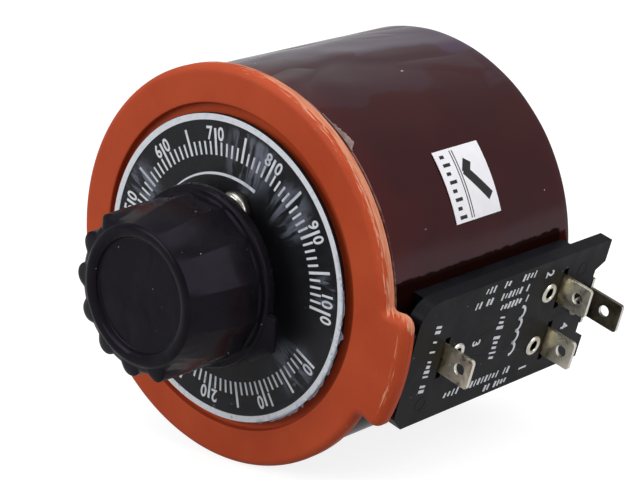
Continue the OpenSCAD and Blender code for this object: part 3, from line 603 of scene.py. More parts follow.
def tinned_blade(name, dark, light, root):
    """Dull tinned brass: pitted, with a painted highlight on faces that look outwards, and yellower towards
    the root.
    """
    f = Finish(name, metal=1.0)
    drift = f.noise(1.8, 4, warp=0.8)
    pits = f.most(f.specks(0.8, 0.11, 0.3), f.specks(1.7, 0.2, 0.2))
    highlight_facing = f.vector("DOT_PRODUCT", f.add("NewGeometry").outputs["Normal"], BOARD_NORMAL)
    out = f.plus(f.towards(BOARD_NORMAL), f.times(drift, 3))
    bare = f.step(out, BOARD_OUT + 5.0, BOARD_OUT + 1.5, 0.0, 0.7)
    # Faces that look outwards along the board get a painted highlight
    color = f.coats(f.blend(f.spread(drift), dark, light), (bare, root),
                    (f.step(highlight_facing, 0.5, 0.9), rgb(226, 224, 216)), (f.times(pits, 0.3), darker(dark, 0.3)))
    uneven = f.bump(f.math("SUBTRACT", f.noise(0.5, 2), pits), 0.02, f.bump(f.noise(5, 1), 0.2))
    return f.set(color=color, rough=f.spread(drift, 0.26, 0.44), normal=uneven)


def copper_turns():
    """Enamelled copper wire, bared to bright metal where the brush runs."""
    f = Finish("copper_turns", metal=0.75)
    ragged = f.plus(f.reach(), f.step(f.noise(1.2), 0.2, 0.8, -0.5, 0.5))
    soft = 0.3
    band = f.times(f.step(ragged, BARED_IN - soft, BARED_IN + soft),
                   f.step(ragged, BARED_OUT + soft, BARED_OUT - soft))
    bare = f.times(band, f.step(f.along(1), TRACK - 0.5, TRACK - 0.3))
    enamel = f.blend(f.noise(3, 4), rgb(92, 36, 18), rgb(128, 56, 28))
    bright = f.blend(f.noise(0.8), rgb(206, 124, 82), rgb(232, 160, 116))
    return f.set(color=f.blend(bare, enamel, bright), rough=f.step(bare, 0, 1, 0.34, 0.26),
                 normal=f.bump(f.noise(0.3, 2), 0.01))


def pressed_board(name, dark, light):
    """Pressed insulating board: layered brown with a fibrous grain."""
    f = Finish(name, specular=0.35)
    fibre = f.noise(1.1, 5, where=f.stretched(1, 1, 0.15))
    color = f.blend(f.spread(f.noise(5, 4)), dark, light)
    color = f.blend(f.step(fibre, 0.5, 0.75, 0.0, 0.4), color, darker(dark, 0.5))
    return f.set(color=color, rough=f.spread(fibre, 0.34, 0.52), normal=f.bump(fibre, 0.02))


def ivory_case():
    """Moulded ivory case of the core, yellowed by varnish."""
    f = Finish("ivory_case", specular=0.3)
    return f.set(color=f.blend(f.spread(f.noise(6, 4)), rgb(168, 146, 104), rgb(198, 182, 146)),
                 rough=f.spread(f.noise(2), 0.4, 0.6), normal=f.bump(f.noise(0.6), 0.02))


def pressed_carbon():
    """Pressed carbon: dark grey, dull, with a glint of graphite."""
    f = Finish("pressed_carbon", specular=0.4)
    return f.set(color=f.blend(f.noise(0.5), rgb(30, 30, 32), rgb(58, 58, 61)),
                 rough=f.spread(f.noise(0.7), 0.42, 0.6), normal=f.bump(f.noise(0.25, 2), 0.02))


def white_paper():
    """Coated white label paper."""
    f = Finish("white_paper", specular=0.3)
    return f.set(color=f.blend(f.noise(3, 4), rgb(222, 221, 226), rgb(240, 239, 243)),
                 rough=f.spread(f.noise(2), 0.4, 0.55), normal=f.bump(f.noise(0.4, 2), 0.01))


def black_ink():
    """Printing ink on the label."""
    f = Finish("black_ink", specular=0.3)
    return f.set(color=f.blend(f.noise(0.6), rgb(22, 21, 24), rgb(40, 39, 42)),
                 rough=f.spread(f.noise(1), 0.4, 0.6))


# Front moulding: ring, dial seat, hub tube and ear in one sweep

# Wear below zero stands for painted shade, here on the spigot in the gap between the ring and the wrap
GAP_SHADE = -1.0
# The ear's flat front starts this much inside its round edge
EAR_SET_IN = 0.6
# The ear is worn only on its upper corner, above this height along the board
WORN_EAR_UP = 8.5


def moulding_outline():
    """The moulding's outer edge, counterclockwise from the ear's middle."""
    ear_r = RING_R + EAR_REACH
    corner_off = ear_r - EAR_CORNER_R
    corner_at = EAR_HALF_ANGLE - degrees(asin(EAR_CORNER_R / corner_off))
    fillet_off = RING_R + EAR_FILLET_R
    fillet_at = EAR_HALF_ANGLE + degrees(asin(EAR_FILLET_R / fillet_off))
    corner = arc(0, 0, corner_off, corner_at, corner_at, 1)[0]
    fillet = arc(0, 0, fillet_off, fillet_at, fillet_at, 1)[0]
    upper = arc(0, 0, ear_r, 0, corner_at, 16)
    upper += arc(*corner, EAR_CORNER_R, corner_at, EAR_HALF_ANGLE + 90, 12)[1:]
    upper += arc(*fillet, EAR_FILLET_R, EAR_HALF_ANGLE + 270, fillet_at + 180, 8)
    upper += arc(0, 0, RING_R, fillet_at, 180, 140)[1:]
    return upper + [(x, -y) for x, y in upper[-2:0:-1]]


def front_moulding(material):
    rim = [BOARD_NORMAL * x + BOARD_UP * y for x, y in moulding_outline()]
    count = len(rim)
    shares = [smooth((p.length - RING_R) / EAR_REACH) for p in rim]
    clean = [share * (1 - smooth((p.dot(BOARD_UP) - WORN_EAR_UP) / 2)) for p, share in zip(rim, shares)]
    normals = []
    for i in range(count):
        along = rim[(i + 1) % count] - rim[i - 1]
        normals.append(Vector((along.z, 0, -along.x)).normalized())
    edges = [RING_EDGE + (EAR_EDGE - RING_EDGE) * share for share in shares]
    rears = [RING_T - EAR_STEP * share for share in shares]
    insets = [edge + EAR_SET_IN * share for edge, share in zip(edges, shares)]
    spokes = [(p - normal * inset).normalized() for p, normal, inset in zip(rim, normals, insets)]
    flush = [0.0] * count
    recess_r = DIAL_R + GROOVE_W
    rings, wear = [], []

    def circle(r, depth, worn=0.0):
        """A ring about the shaft, on the spokes of the innermost ring along the outline."""
        rings.append([spoke * r + Vector((0, depth, 0)) for spoke in spokes])
        wear.extend([worn] * count)

    def follow(inwards, depths, worn, ear_worn):
        """A ring along the outline; inwards and depths hold a number for each of its points."""
        places = zip(rim, normals, inwards, depths)
        rings.append([p - normal * inset + Vector((0, depth, 0)) for p, normal, inset, depth in places])
        wear.extend([worn + (ear_worn - worn) * share for share in clean])

    lip = 0.3
    for r, depth in arc(recess_r + lip, lip, lip, 180, 270, 4):
        circle(r, depth, 0.12)
    flat_r = RING_R - RING_EDGE
    for r, worn in ((recess_r + 0.8, 0.0), (flat_r - 1.5, 0.0), (flat_r - 0.4, 0.04)):
        circle(r, 0, worn)
    follow(insets, flush, 0.06, 0.2)
    steps = 8
    for k in range(steps + 1):
        turn = pi / 2 * k / steps
        inwards = [edge * (1 - sin(turn)) for edge in edges]
        depths = [edge * (1 - cos(turn)) for edge in edges]
        follow(inwards, depths, 0.22 + 0.4 * sin(turn) ** 3, 0.56 - 0.44 * sin(turn))
    chamfer = 0.3
    for up, worn, ear_worn in ((1.5, 0.95, 0.08), (0.9, 1.0, 0.1), (chamfer, 1.0, 0.3)):
        follow(flush, [rear - up for rear in rears], worn, ear_worn)
    follow([chamfer] * count, rears, 0.7, 0.3)
    # The spigot between the ring and the wrap is marked for painted shade
    for depth in (RING_T, BASE_REAR):
        circle(SPIGOT_R, depth, GAP_SHADE)
    inner = [(HUB_R, BASE_REAR), (HUB_R, HUB_END),
             (BUSH_SEAT_R, HUB_END), (BUSH_SEAT_R, HUB_END - BUSH_L), (HUB_BORE_R, HUB_END - BUSH_L),
             (HUB_BORE_R, DIAL_SEAT + BUSH_L), (BUSH_SEAT_R, DIAL_SEAT + BUSH_L),
             (BUSH_SEAT_R, DIAL_SEAT), (PLATFORM_R - 0.2, DIAL_SEAT), (PLATFORM_R, DIAL_SEAT + 0.2)]
    fillet = 0.5
    inner += arc(PLATFORM_R + fillet, GROOVE_DEPTH - fillet, fillet, 180, 90, 4)
    inner += arc(recess_r - fillet, GROOVE_DEPTH - fillet, fillet, 90, 0, 4)
    for r, depth in inner:
        circle(r, depth)
    piece("front_moulding", loft(rings, closed=True), "frame", material,
          ["base_moulding"], values={"wear": wear})


# Dial, its scale and its film

SCALE_INNER, SCALE_SHORT, SCALE_LONG = 0.735 * DIAL_R, 0.82 * DIAL_R, 0.905 * DIAL_R
SHORT_TICK_W, LONG_TICK_W = 0.45, 0.55
FIGURE_R, FIGURE_H, FIGURE_GAP = 0.872 * DIAL_R, 2.75, 0.6
FIGURE_W = 0.62 * FIGURE_H
BORDER_R = 0.956 * DIAL_R
DIAL_EDGE, DIAL_HOLE_R = 0.12, 7.6
PRINT_T = 0.03
# The wedge stands where the photograph has words: its radius, readings at its ends and half widths
WEDGE_R, WEDGE_START, WEDGE_END = 0.618 * DIAL_R, 52, 79
WEDGE_THIN, WEDGE_RISE = 0.06, 0.3


def scale_angle(reading):
    return ZERO_ANGLE - TRAVEL * reading / 100


def on_dial(angle, r=0.0):
    """Places a mark on the dial: u runs clockwise, v outwards from radius r at an angle."""
    out = polar(1, angle, 0)
    clockwise = Vector((out.z, 0, -out.x))
    return lambda u, v, h: out * (r + v) + clockwise * u + Vector((0, DIAL_FACE - h, 0))


def dial_ticks():
    ticks = []
    for reading in range(101):
        long_tick = reading % 5 == 0
        path = [(0, SCALE_INNER), (0, SCALE_LONG if long_tick else SCALE_SHORT)]
        width = LONG_TICK_W if long_tick else SHORT_TICK_W
        ticks.append(ribbon(path, width, on_dial(scale_angle(reading)), PRINT_T))
    return merge(*ticks)


def dial_figures():
    """The last figure of each number stands after its tick, and the others before it."""
    figures = []
    for reading in range(0, 101, 10):
        digits = str(reading)
        for text, side in ((digits[:-1], -1), (digits[-1], 1)):
            if text:
                off = side * (FIGURE_GAP + FIGURE_W * len(text) / 2)
                angle = scale_angle(reading) - degrees(off / FIGURE_R)
                figures.append(glyphs(text, FIGURE_H, on_dial(angle, FIGURE_R), PRINT_T, 0.86))
    return merge(*figures)


def dial_wedge():
    rings = []
    steps = 40
    for i in range(steps + 1):
        reading = WEDGE_START + (WEDGE_END - WEDGE_START) * i / steps
        half = WEDGE_THIN + WEDGE_RISE * i / steps
        rings.append(slab(scale_angle(reading), (WEDGE_R - half, WEDGE_R + half),
                          (DIAL_FACE, DIAL_FACE - PRINT_T)))
    return capped(rings)


def dial(paint, ink):
    rim_r, print_face, segments = DIAL_R - DIAL_EDGE, DIAL_FACE - PRINT_T, 256
    disc = lathe([(DIAL_HOLE_R, DIAL_FACE), (rim_r, DIAL_FACE), (DIAL_R, DIAL_FACE + DIAL_EDGE),
                  (DIAL_R, DIAL_SEAT), (DIAL_HOLE_R, DIAL_SEAT)], segments, closed=True)
    piece("dial_face", disc, "frame", paint, ["dial_plate"])
    border = lathe([(BORDER_R, DIAL_FACE), (BORDER_R, print_face), (rim_r, print_face), (rim_r, DIAL_FACE)],
                   segments, closed=True)
    for name, shape in (("dial_border", border), ("dial_ticks", dial_ticks()),
                        ("dial_figures", dial_figures()), ("dial_wedge", dial_wedge())):
        piece(name, shape, "frame", ink)


# The film's edge is ragged around an angle, up to so far from it, and fades out over a stretch
RAGGED_ANGLE, RAGGED_REACH, RAGGED_FADE = -28.0, 60.0, 40.0


def film_sheet(material):
    """A thin clear sheet in soft waves, with a ragged edge at the lower right."""
    segments, steps = 320, 24
    inner_r, thick, lift, wave_h = 9.5, 0.04, 0.05, 0.03
    edge_in, frays, fray_l = 0.25, 0.55, 0.75
    shares = [i / steps for i in range(steps + 1)]
    rings, edge = [], []
    for side, order in ((0, shares), (1, shares[::-1])):
        for share in order:
            ring = []
            for j in range(segments):
                angle = TURN * j / segments
                off = abs((angle - RAGGED_ANGLE + TURN / 2) % TURN - TURN / 2)
                ragged = smooth((RAGGED_REACH - off) / RAGGED_FADE)
                rough = wobble(j * 0.31, 3.1) + 0.6 * wobble(j * 0.9, 7.7)
                outer_r = DIAL_R - edge_in + ragged * max(0.0, frays + fray_l * rough)
                r = inner_r + (outer_r - inner_r) * share
                wave = perlin.noise(polar(r, angle, 0) * 0.16) * wave_h
                ring.append(polar(r, angle, FILM_FRONT + lift + wave + side * thick))
                edge.append(smooth((r - DIAL_R + 0.1) / 0.3))
            rings.append(ring)
    piece("film_sheet", loft(rings, closed=True), "frame", material, ["dial_film"],
          values={"edge": edge})


# Knob: ribs on the left, and on the right film that is drawn flat from rib to rib

LOBES = 13
LOBE_R, LOBE_PROUD = 2.5, 1.7
KNOB_FRONT_R, KNOB_BASE_R = 15.3, 16.5
FACE_R, FACE_DEPTH = 11.3, 1.2
# The rim around the knob's front: radius of its crest, of its round edge, and how far that edge goes round
CREST_R, EDGE_R, EDGE_TURN = 13.0, 1.3, 55.0
RIM_R = CREST_R + EDGE_R * sin(radians(EDGE_TURN))
RIM_DEPTH = EDGE_R * (1 - cos(radians(EDGE_TURN)))
# Behind the rim the ribs rise within the first length, and drawn film within the second
RIB_L, DRAWN_L = 0.8, 15.0
# The film is drawn flat on the side around this angle
DRAWN_ANGLE = 25.0
# Elsewhere it bridges the valleys between the ribs from so far behind the front, over a length
BRIDGE_START, BRIDGE_L = 3.0, 6.0
FLANGE_T = 2.5
POINTER_R, POINTER_W, POINTER_T = 21.8, 12.0, 2.0


def knob_side(angle, down):
    """Radius of the knob's side, so far behind its front."""
    pitch = TURN / LOBES
    half = radians(pitch / 2)
    off = radians((angle - ZERO_ANGLE) % pitch - pitch / 2)
    tip_r = KNOB_FRONT_R + LOBE_PROUD
    centre = tip_r - LOBE_R
    inside = LOBE_R ** 2 - (centre * sin(off)) ** 2
    rib = centre * cos(off) + sqrt(inside) if inside > 0 else 0.0
    body = KNOB_FRONT_R + (KNOB_BASE_R - KNOB_FRONT_R) * down / (KNOB_REAR - FLANGE_T - KNOB_FRONT)
    soft = 0.3
    high, low = max(body, rib), min(body, rib)
    high += soft * max(0.0, 1 - (high - low) / (2 * soft)) ** 2 / 2
    flat = tip_r * cos(half) / cos(half - abs(off))
    high += max(0.0, flat - high) * smooth((down - BRIDGE_START) / BRIDGE_L)

    def rise(full, length):
        return RIM_R + (full - RIM_R) * sin(pi / 2 * min(1.0, (down - RIM_DEPTH) / length))

    # 1 on the side with ribs, and 0 where the film is drawn flat
    left = smooth((0.3 - cos(radians(angle - DRAWN_ANGLE))) / 0.5)
    return rise(flat, DRAWN_L) * (1 - left) + rise(high, RIB_L) * left


def knob_pointer():
    """A flat beak on the flange, with a sloping front."""
    half, shoulder = POINTER_W / 2, FLANGE_R + 0.6
    blunt, tip_half, corner = 0.2, 0.4, 0.3
    left = [(FLANGE_R - half, -half), (shoulder - corner, -half), (shoulder, corner - half),
            (POINTER_R - blunt, -tip_half)]
    outline = left + [(POINTER_R, 0)] + [(r, -t) for r, t in left[::-1]]
    out = polar(1, ZERO_ANGLE, 0)
    side = Vector((-out.z, 0, out.x))
    # Each layer is set in by a distance and lies in front of the knob's rear by another
    layers = [(1.6, POINTER_T), (0.15, 1.3), (0.0, 1.1), (0.0, 0.5), (0.15, 0.36)]
    rings = []
    for inset, ahead in layers:
        level = Vector((0, KNOB_REAR - ahead, 0))
        rings.append([out * (r - inset) + side * t + level for r, t in outline])
    return capped(rings)


def knob(material):
    points_per_lobe = 32
    count = LOBES * points_per_lobe
    angles = [ZERO_ANGLE + TURN * j / count for j in range(count)]
    step_depth = KNOB_REAR - FLANGE_T
    face = KNOB_FRONT + FACE_DEPTH
    fillet, bead_depth = 0.4, 0.8
    front = [(0, face), (FACE_R - fillet - 0.1, face)]
    front += arc(FACE_R - fillet, face - fillet, fillet, 90, 0, 3)
    front += [(FACE_R + (CREST_R - FACE_R) * (1 + r), KNOB_FRONT + bead_depth * (1 + depth))
              for r, depth in arc(0, 0, 1, 180, 270, 8)]
    front += arc(CREST_R, KNOB_FRONT + EDGE_R, EDGE_R, -90, EDGE_TURN - 90, 8)[1:]
    root, bead, edge = 0.5, 0.6, 0.3
    skirt = arc(KNOB_BASE_R + root, step_depth - root, root, 180, 90, 3)
    skirt += arc(FLANGE_R - bead, step_depth + bead, bead, -90, 0, 5)
    skirt += [(FLANGE_R, KNOB_REAR - edge), (FLANGE_R - edge, KNOB_REAR), (INSERT_R, KNOB_REAR),
              (INSERT_R, INSERT_FRONT), (0, INSERT_FRONT)]
    rings = circles(front, angles)
    length = step_depth - root - KNOB_FRONT - RIM_DEPTH
    steps, crowding = 28, 1.8
    for k in range(1, steps + 1):
        down = RIM_DEPTH + length * (k / steps) ** crowding
        rings.append([polar(knob_side(a, down), a, KNOB_FRONT + down) for a in angles])
    shape = merge(loft(rings + circles(skirt, angles)), knob_pointer())
    piece("control_knob", shape, "rotor", material, ["knob"], sharp=50)


# Wrap around the winding, its label and a torn flap

LABEL_TOP, LABEL_FOOT = 37.1, 15.7
LABEL_FRONT, LABEL_REAR = 24.6, 38.5
LABEL_T = 0.09


def wrap_film(material):
    thick, rim_w, edge, steps = 0.8, 3.0, 0.12, 36
    bend = WRAP_END - TRACK
    bend_r, bend_depth = WRAP_R - bend, WRAP_END - bend
    outer = [(WRAP_R - edge, FILM_EDGE), (WRAP_R, FILM_EDGE + edge)]
    outer += [(WRAP_R, FILM_EDGE + (bend_depth - FILM_EDGE) * k / steps) for k in range(1, steps + 1)]
    turned = arc(bend_r, bend_depth, bend, 0, 90, 6)[1:]
    inner = [(WRAP_R - rim_w, WRAP_END - 0.1), (WRAP_R - rim_w, WRAP_END - thick)]
    back = arc(bend_r, bend_depth, bend - thick, 90, 0, 5) + [(WRAP_R - thick, FILM_EDGE)]
    points, faces = lathe(outer + turned + inner + back, 256, closed=True)
    shrunk, ripple_h = 0.12, 0.1
    fold_h, fold_end, fold_fade = 0.12, 20.0, 14.0
    shaped = []
    for p in points:
        ripple = perlin.noise(Vector((p.x, p.y * 0.5, p.z)) * 0.11) * ripple_h
        fold = max(0.0, perlin.noise(Vector((p.x * 0.3 + 9, p.y * 0.12, p.z * 0.3)))) * fold_h
        near_front = smooth((fold_end - p.y) / fold_fade)
        r = hypot(p.x, p.z)
        scale = (r - shrunk + ripple - fold * near_front) / r
        shaped.append(Vector((p.x * scale, p.y, p.z * scale)))
    piece("wrap_film", (shaped, faces), "frame", material, ["wrap"])


def on_wrap(u, v, h):
    """Places a mark on the label: u runs down around the wrap from the label's top, v along the shaft."""
    return polar(WRAP_R + h, LABEL_TOP - degrees(u / WRAP_R), LABEL_FRONT + v)


def on_label(u, v, h):
    return on_wrap(u, v, h + LABEL_T)


def fine(points):
    """The same path with points close enough together to lie on the wrap."""
    step = 0.8
    made = [points[0]]
    for a, b in zip(points, points[1:]):
        count = max(1, ceil(dist(a, b) / step))
        shares = [i / count for i in range(1, count + 1)]
        made += [(a[0] + (b[0] - a[0]) * t, a[1] + (b[1] - a[1]) * t) for t in shares]
    return made


def paper_label(paper, ink):
    """A white label with a check mark, two lines and a row of bars."""
    tall = radians(LABEL_TOP - LABEL_FOOT) * WRAP_R
    wide = LABEL_REAR - LABEL_FRONT
    sheet = ribbon(fine([(0, wide / 2), (tall, wide / 2)]), wide, on_wrap, LABEL_T)
    piece("paper_label", sheet, "frame", paper)
    check_w, line_w, bar_w = 2.1, 0.25, 0.7
    strokes = [([(3.2, 8.6), (5.6, 6.9)], check_w), ([(4.9, 6.8), (11.2, 12.0)], check_w)]
    margin = 0.5
    strokes += [([(margin, v), (tall - margin, v)], line_w) for v in (5.6, 4.9)]
    first, pitch, foot, short, long = 1.4, 1.75, 1.4, 1.26, 2.1
    for k in range(8):
        u = first + pitch * k
        strokes.append(([(u, foot), (u, foot + (long if k % 2 else short))], bar_w))
    marks = [ribbon(fine(path), width, on_label, PRINT_T) for path, width in strokes]
    piece("label_marks", merge(*marks), "frame", ink)


def torn_flap(material):
    """A lifted shred of film beside the ring."""
    start, end, count = 44.0, 58.0, 34
    longest, shortest, uneven, half_t = 2.0, 0.3, 0.35, 0.05
    rise, fall = 2.5, 13.0
    front = FILM_EDGE + 0.1
    rings = []
    for i in range(count + 1):
        angle = start + (end - start) * i / count
        reach = longest * smooth((angle - start) / rise) * smooth((end - angle) / fall)
        reach += uneven * wobble(angle * 1.7, 1.3)
        rings.append(slab(angle, (WRAP_R - half_t, WRAP_R + half_t), (front, front + max(reach, shortest))))
    piece("torn_flap", capped(rings), "frame", material)


# Winding: single turns of wire around the core

def winding_turns(material):
    """Every second turn lies lower beside the bore, and all are level where the brush runs."""
    turns, wire_r, gap, uneven = 360, 0.225, 18.0, 0.06
    corner, bore_sink, rear_sink = 0.8, 0.45, 0.42
    pitch = (TURN - gap) / turns
    outer = WINDING_R - wire_r
    rear, front = TRACK - wire_r, WINDING_FRONT + wire_r
    rng = random.Random(4)
    loops = []
    for i in range(turns):
        angle = GAP_ANGLE + gap / 2 + pitch * (i + 0.5) + rng.uniform(-uneven, uneven)
        under = i % 2
        inner = LINER_R + 0.2 + wire_r + bore_sink * under
        sunk = rear - rear_sink * under
        path = [(inner, front + corner), (inner, sunk - corner)]
        path += arc(inner + corner, sunk - corner, corner, 180, 90, 3)[1:]
        # Away from the bore the lower turns rise to the level of the others
        path += [(20.5, sunk), (22.5, sunk + 0.12 * under), (24.5, rear - 0.1 * under)]
        path += [(26.0, rear), (32.5, rear)]
        path += arc(outer - corner, rear - corner, corner, 90, 0, 3)
        path += arc(outer - corner, front + corner, corner, 0, -90, 3)
        path += arc(inner + corner, front + corner, corner, -90, -180, 3)[:-1]
        loops.append(tube([polar(r, angle, depth) for r, depth in path], wire_r))
    piece("winding_turns", merge(*loops), "frame", material, ["winding"], sharp=80)


# Terminal board prints, eyelets and screw heads

# Plain figures beside the blades: text, depth and height along the board
FIGURES = (("1", 45.5, -11.0), ("2", 45.3, 11.0), ("3", 25.7, 0.4), ("4", 56.9, -4.2))
# Rows of bars where the photograph has lettering: (depth, up) of both ends, and the bars' height
BAR_ROWS = (((39.8, 12.4), (24.4, 12.4), 1.5), ((39.7, 9.6), (22.2, 9.6), 1.5),
            ((39.4, 7.0), (31.2, 7.0), 1.5), ((32.5, 4.4), (32.5, -4.9), 2.2),
            ((40.2, -9.9), (28.3, -9.9), 1.5), ((40.2, -12.4), (33.6, -12.4), 1.4),
            ((23.8, -9.9), (19.9, -9.9), 1.5), ((11.3, 8.0), (11.3, -6.4), 1.7))
# Depth and height of the coil sign's middle, and of two round marks that the mould left
COIL_AT, MOULD_MARKS = (38.6, -0.4), ((12.2, -9.6), (57.2, 9.0))
# Depth and height of each eyelet, some of them so far from their blade
EYELET_OFFSET, EYELET_UP = 4.2, 6.15
EYELETS = ((PAIR_BLADE - EYELET_OFFSET, -EYELET_UP), (PAIR_BLADE - EYELET_OFFSET, EYELET_UP),
           (FRONT_BLADE + EYELET_OFFSET, 0.0), (EDGE_EYELET, 0.0))


def on_board(depth, up):
    """Places a mark on the board: u runs down across it, v to the rear."""
    def place(u, v, h):
        return BOARD_NORMAL * (BOARD_OUT + h) + BOARD_UP * (up - u) + Vector((0, depth + v, 0))
    return place


def stroke_row(start, end, tall, seed):
    """Short slanted bars in a row between two (depth, up) places, with some left out."""
    pitch, left_out, slant = 1.15, 0.14, 0.15
    rng = random.Random(seed)
    along = Vector(end) - Vector(start)
    count = round(along.length / pitch)
    step = along / count
    across = Vector((-step.y, step.x)).normalized() * tall / 2
    bars = []
    for k in range(count + 1):
        if rng.random() < left_out:
            continue
        middle = Vector(start) + step * k
        reach = across * rng.choice((1.0, 1.0, 0.7)) + step * slant
        path = [(-p.y, p.x) for p in (middle - reach, middle + reach)]
        bars.append(ribbon(path, rng.choice((0.4, 0.55, 0.7)), on_board(0, 0), PRINT_T))
    return bars


def board_prints(ink, plastic):
    figure_h, coil_r, coil_w, coil_turns = 2.5, 1.4, 0.65, 4
    marks = [glyphs(text, figure_h, on_board(depth, up), PRINT_T) for text, depth, up in FIGURES]
    coil = []
    for k in range(coil_turns):
        middle = coil_r * (2 * k + 1 - coil_turns)
        coil += [(u, v) for v, u in arc(0, middle, coil_r, -90, 90, 10)]
    marks.append(ribbon(coil, coil_w, on_board(*COIL_AT), PRINT_T))
    for number, (start, end, tall) in enumerate(BAR_ROWS):
        marks += stroke_row(start, end, tall, number)
    piece("board_print", merge(*marks), "frame", ink)
    mark_r, mark_w, mark_h = 1.5, 0.16, 0.04
    path = arc(0, 0, mark_r, 0, TURN, 40)
    rings = [ribbon(path, mark_w, on_board(*place), mark_h) for place in MOULD_MARKS]
    piece("mould_marks", merge(*rings), "frame", plastic)


def eyelets(material):
    """Rolled eyelets with bores painted dark as shade; the one at the board's end is painted dark as shade,
    like the blade beside it.
    """
    bore_r, barrel_r, flange_r = 1.1, 1.5, EYELET_FLANGE_R
    back, flange_t, top = 39.72, 0.5, BOARD_OUT + 0.48
    profile = [(bore_r, back), (flange_r, back), (flange_r, back + flange_t), (barrel_r, back + flange_t),
               (barrel_r, BOARD_OUT), (flange_r - 0.05, BOARD_OUT), (flange_r, BOARD_OUT + 0.1),
               (flange_r - 0.08, BOARD_OUT + 0.28), (flange_r - 0.3, top - 0.06), (flange_r - 0.5, top),
               (bore_r + 0.25, top - 0.05), (bore_r + 0.08, top - 0.16), (bore_r, top - 0.35)]
    points, faces = lathe(profile, 40, closed=True)
    turn = Matrix((BOARD_UP, BOARD_NORMAL, Vector((0, 1, 0)))).transposed()
    centres = [BOARD_UP * up + Vector((0, depth, 0)) for depth, up in EYELETS]
    # Points in the bore are marked for painted shade
    in_bore = [float(hypot(p.x, p.z) < bore_r + 0.05) for p in points]
    inside = []
    # The eyelet at the board's end is marked for painted shade as a whole
    for depth, _ in EYELETS:
        shaded = 0.8 * (depth == EDGE_EYELET)
        inside += [max(shaded, dark) for dark in in_bore]
    shape = copies(([turn @ p for p in points], faces), centres)
    piece("rolled_eyelets", shape, "frame", material, ["eyelets"], values={"inside": inside})


def cross_cut(made, centres, depth, outward, reach, width, sink, first_turn):
    """Cuts a cross recess into each screw head of a piece, each turned further than the one before."""
    turn_between, above = 37, 1.0
    for index, centre in enumerate(centres):
        start = first_turn + turn_between * index
        for turn in (start, start + 90):
            u = polar(1, turn, 0)
            w = Vector((-u.z, 0, u.x))
            ring = [centre + u * reach * a + w * width / 2 * b for a, b in SQUARE]
            levels = [[p + Vector((0, depth + outward * d, 0)) for p in ring] for d in (-sink, above)]
            cutter = add_object("cutter", make_mesh("cutter", capped(levels)))
            cut = made.modifiers.new("cut", "BOOLEAN")
            cut.operation = "DIFFERENCE"
            cut.solver = "EXACT"
            cut.object = cutter
            graph = bpy.context.evaluated_depsgraph_get()
            result = bpy.data.meshes.new_from_object(made.evaluated_get(graph))
            made.modifiers.clear()
            made.data = result
            bpy.data.objects.remove(cutter)
    shade_smooth(made.data)


def dial_screws(material):
    """Pan heads on the dial, with cross recesses."""
    pan_r, pan_h, round_r, edge = 3.9, 2.3, 1.3, 0.1
    thread_r, pitch_r, first = 2.0, 13.3, 73
    head = FILM_FRONT - pan_h
    profile = [(0, head)] + arc(pan_r - round_r, head + round_r, round_r, -90, 0, 8)
    profile += [(pan_r, FILM_FRONT - edge), (pan_r - edge, FILM_FRONT), (thread_r, FILM_FRONT),
                (thread_r, SCREW_END), (0, SCREW_END)]
    centres = [polar(pitch_r, first + 120 * k, 0) for k in range(3)]
    shape = copies(lathe(profile, 64), centres)
    made = piece("dial_screw_heads", shape, "frame", material, ["dial_screws"])
    cross_cut(made, centres, head, -1, reach=1.9, width=0.75, sink=1.1, first_turn=20)


def clamp_screws(material):
    """Sunk heads on the clamp plate, with cross recesses."""
    cone_r, shank_r, length = 2.3, 1.25, 12
    edge, sunk, plate_bore_r = 0.1, 0.02, 7.6
    end, face = CLAMP_REAR - length, CLAMP_REAR - sunk
    profile = [(0, end), (shank_r, end), (shank_r, CLAMP_REAR - cone_r + shank_r),
               (cone_r, CLAMP_REAR - edge), (cone_r - edge, face), (0, face)]
    centres = [polar((plate_bore_r + HUB_R) / 2, GAP_ANGLE + 120 * k, 0) for k in range(3)]
    shape = copies(lathe(profile, 48), centres)
    made = piece("clamp_screw_heads", shape, "frame", material, ["clamp_screws"])
    cross_cut(made, centres, CLAMP_REAR, 1, reach=1.25, width=0.5, sink=0.7, first_turn=50)


# Camera, lamps and floor

LENS, SENSOR = 129.4, 36.0
CAMERA_PLACE = Vector((297.8, -310.6, 130.2))
CAMERA_AZIMUTH, CAMERA_PITCH = 41.33, 16.14
# Light from all sides, the floor's own light and the share of it that shows in mirrored rays
AMBIENT, FLOOR_GLOW, FLOOR_MIRRORED = 0.46, 0.84, 0.5
FLOOR_HALF, FLOOR_GAP = 4000.0, 0.2


def camera():
    data = bpy.data.cameras.new("camera")
    data.lens = LENS
    data.sensor_width = SENSOR
    data.clip_start, data.clip_end = 0.01, 20
    made = add_object("camera", data)
    made.location = CAMERA_PLACE * MM
    made.rotation_euler = (radians(90 - CAMERA_PITCH), 0, radians(CAMERA_AZIMUTH))
    bpy.context.scene.camera = made


def lamp(name, place, target, size, power):
    """A soft rectangular lamp, in metres and watts, that faces a target."""
    data = bpy.data.lights.new(name, "AREA")
    data.shape = "RECTANGLE"
    data.size, data.size_y = size
    data.energy = power
    made = add_object(name, data)
    made.location = place
    made.rotation_euler = (Vector(target) - Vector(place)).to_track_quat("-Z", "Y").to_euler()


def surroundings():
    """White for the camera, and a softer light for the object."""
    world = bpy.data.worlds.new("studio")
    sky = Nodes(world)
    ambient = sky.tree.nodes["Background"]
    sky.feed(ambient, {"Color": WHITE, "Strength": AMBIENT})
    shown = sky.add("Background", {"Color": WHITE, "Strength": 1.0})
    mix = sky.add("MixShader", {0: sky.ray_share(0.0), 1: ambient.outputs[0], 2: shown.outputs[0]})
    sky.feed(sky.tree.nodes["World Output"], {"Surface": mix.outputs[0]})
    bpy.context.scene.world = world


